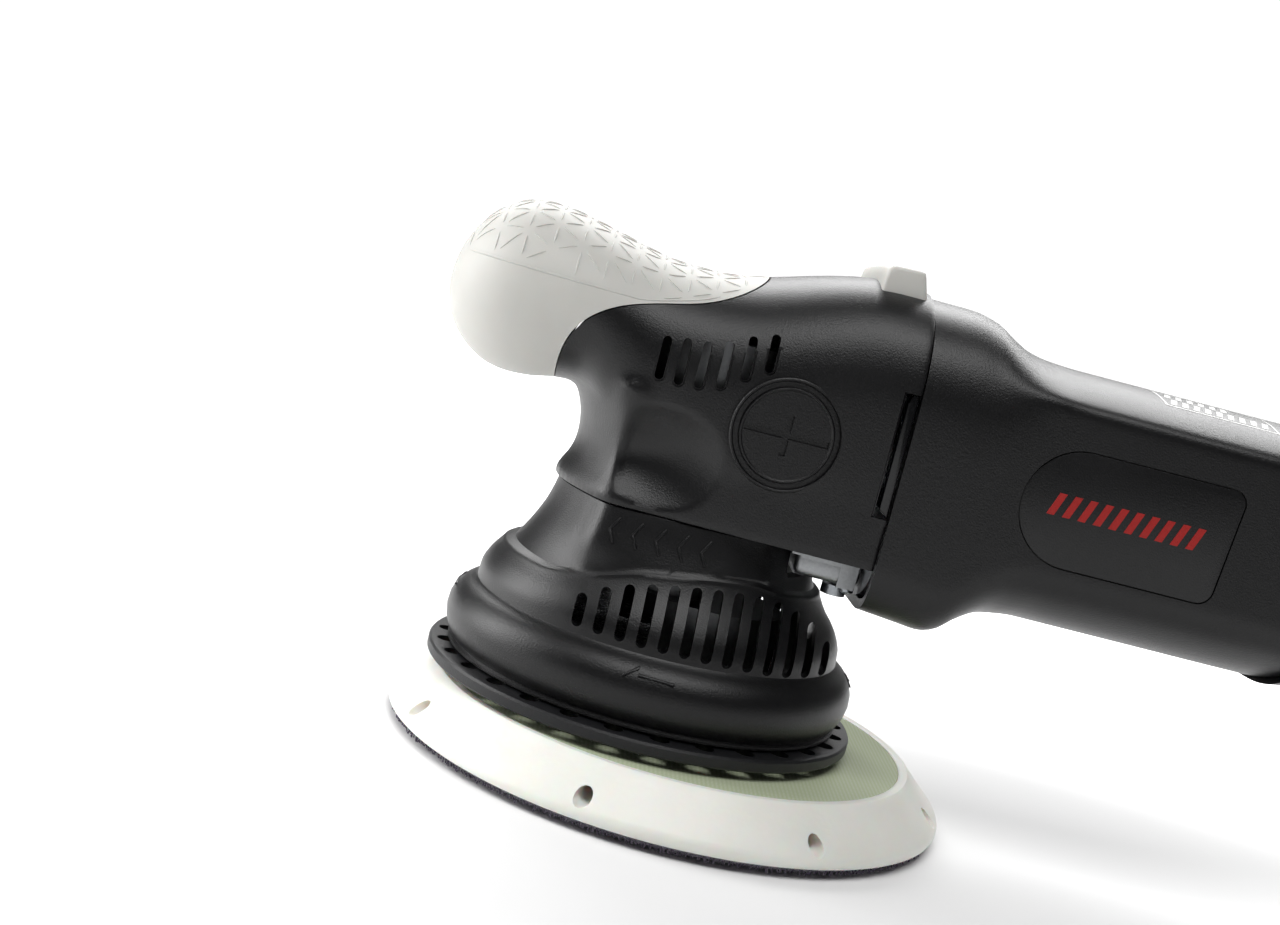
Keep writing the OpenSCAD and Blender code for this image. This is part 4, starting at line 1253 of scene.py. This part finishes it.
# %% Split the handle
for name, node, side in (("handle_shell_right", "handle_right", 1),
                         ("handle_shell_left", "handle_left", -1)):
    half = shell.copy()
    half.data = shell.data.copy()
    half.name = name
    bpy.context.scene.collection.objects.link(half)
    bm = bmesh.new()
    edge = 0.12 * side
    block(bm, (100, min(edge, side * 80), 20), (400, max(edge, side * 80), 160))
    carve(half, finish_piece("half_tool", bm), "INTERSECT")
    shade(half, 30)
    place(half, "housing", "abs_black", abs_black, node)
bpy.data.objects.remove(shell)

# %% [markdown]
# ## Stage, light and camera
# A white paper floor runs back into a white room. The floor has a painted glow: it emits light that rises
# with distance, standing in for the light on a paper backdrop, so no horizon shows. The standard view keeps
# white paper white. The paper's glow and the room are dimmer as light sources than they look to the camera,
# or the black plastic would turn grey.

# %% Floor
bm = bmesh.new()
bmesh.ops.create_grid(bm, x_segments=2, y_segments=2, size=9000)
bmesh.ops.translate(bm, verts=bm.verts, vec=(0, 0, -0.2))
floor = finish_piece("studio_floor", bm)
material, tree, shader, where = started("white_paper_painted_glow")
tone = add(tree, "ShaderNodeTexNoise", inputs={"Scale": 1.5}, Vector=where)
tree.links.new(mixed(tree, tone.outputs[0], "F6F6F6", "F9F9F9"), shader.inputs["Base Color"])
# Painted glow: the paper emits light that rises with distance from the tool, and it glows more to the
# camera than to the rest of the scene.
far = add(tree, "ShaderNodeVectorMath", {"operation": "LENGTH"})
tree.links.new(where, far.inputs[0])
glow_by_distance = add(tree, "ShaderNodeMapRange", {"interpolation_type": "SMOOTHSTEP"},
            {"From Min": 0.12, "From Max": 0.55, "To Min": 0.0, "To Max": 1.1})
tree.links.new(far.outputs["Value"], glow_by_distance.inputs[0])
glow = add(tree, "ShaderNodeMapRange", {}, {"To Min": 0.15, "To Max": 1.0})
tree.links.new(add(tree, "ShaderNodeLightPath").outputs["Is Camera Ray"], glow.inputs[0])
glow_now = add(tree, "ShaderNodeMath", {"operation": "MULTIPLY"})
tree.links.new(glow_by_distance.outputs[0], glow_now.inputs[0])
tree.links.new(glow.outputs[0], glow_now.inputs[1])
tree.links.new(glow_now.outputs[0], shader.inputs["Emission Strength"])
shader.inputs["Emission Color"].default_value = (1, 1, 1, 1)
shader.inputs["Roughness"].default_value = 0.9
shader.inputs["Specular IOR Level"].default_value = 0.1
floor.data.materials.append(material)

# %% Lights
bpy.context.scene.view_settings.view_transform = "Standard"
room = bpy.data.worlds.new("white_room")
bpy.context.scene.world = room
room.use_nodes = True
tree = room.node_tree
tree.nodes.clear()
seen = add(tree, "ShaderNodeBackground", inputs={"Color": (1, 1, 1, 1), "Strength": 1.1})
felt = add(tree, "ShaderNodeBackground", inputs={"Color": (1, 1, 1, 1), "Strength": 0.08})
choose = add(tree, "ShaderNodeMixShader")
tree.links.new(add(tree, "ShaderNodeLightPath").outputs["Is Camera Ray"], choose.inputs[0])
tree.links.new(felt.outputs[0], choose.inputs[1])
tree.links.new(seen.outputs[0], choose.inputs[2])
tree.links.new(choose.outputs[0], add(tree, "ShaderNodeOutputWorld").inputs[0])


def soft_box(name, place_at, look_at, width, height, watts):
    light = bpy.data.lights.new(name, "AREA")
    light.shape = "RECTANGLE"
    light.size, light.size_y = width, height
    light.energy = watts
    lamp = bpy.data.objects.new(name, light)
    bpy.context.scene.collection.objects.link(lamp)
    lamp.location = place_at
    aim = Vector(look_at) - Vector(place_at)
    lamp.rotation_mode = "QUATERNION"
    lamp.rotation_quaternion = aim.to_track_quat("-Z", "Y")
    return lamp


centre = (0.03, 0, 0.08)
soft_box("overhead_box", (0.05, -0.45, 1.0), centre, 0.9, 0.5, 7.5)
soft_box("left_box", (-0.85, 0.1, 0.35), centre, 0.5, 0.7, 8.5)
soft_box("back_box", (0.1, 0.9, 0.85), centre, 1.6, 0.6, 18)

# %% [markdown]
# The camera stands to the side, slightly above, and is rolled, as the tool leans back in use.

# %% Camera
azimuth, elevation, roll = math.radians(-2.1), math.radians(6.6), math.radians(14.5)
distance, aim_at = 0.4127, Vector((-0.0145, 0, 0.076))
back = Vector((math.sin(azimuth) * math.cos(elevation), -math.cos(azimuth) * math.cos(elevation),
               math.sin(elevation)))
right = (-back).cross(Vector((0, 0, 1))).normalized()
up = right.cross(-back)
right_rolled = right * math.cos(roll) + up * math.sin(roll)
up_rolled = -right * math.sin(roll) + up * math.cos(roll)
lens = bpy.data.cameras.new("studio_camera")
lens.sensor_width = 36
lens.lens = 44.015625
camera = bpy.data.objects.new("studio_camera", lens)
bpy.context.scene.collection.objects.link(camera)
camera.location = aim_at + back * distance
camera.rotation_mode = "QUATERNION"
camera.rotation_quaternion = Matrix((right_rolled, up_rolled, back)).transposed().to_quaternion()
bpy.context.scene.camera = camera
print("lens", round(lens.lens, 1), "mm")
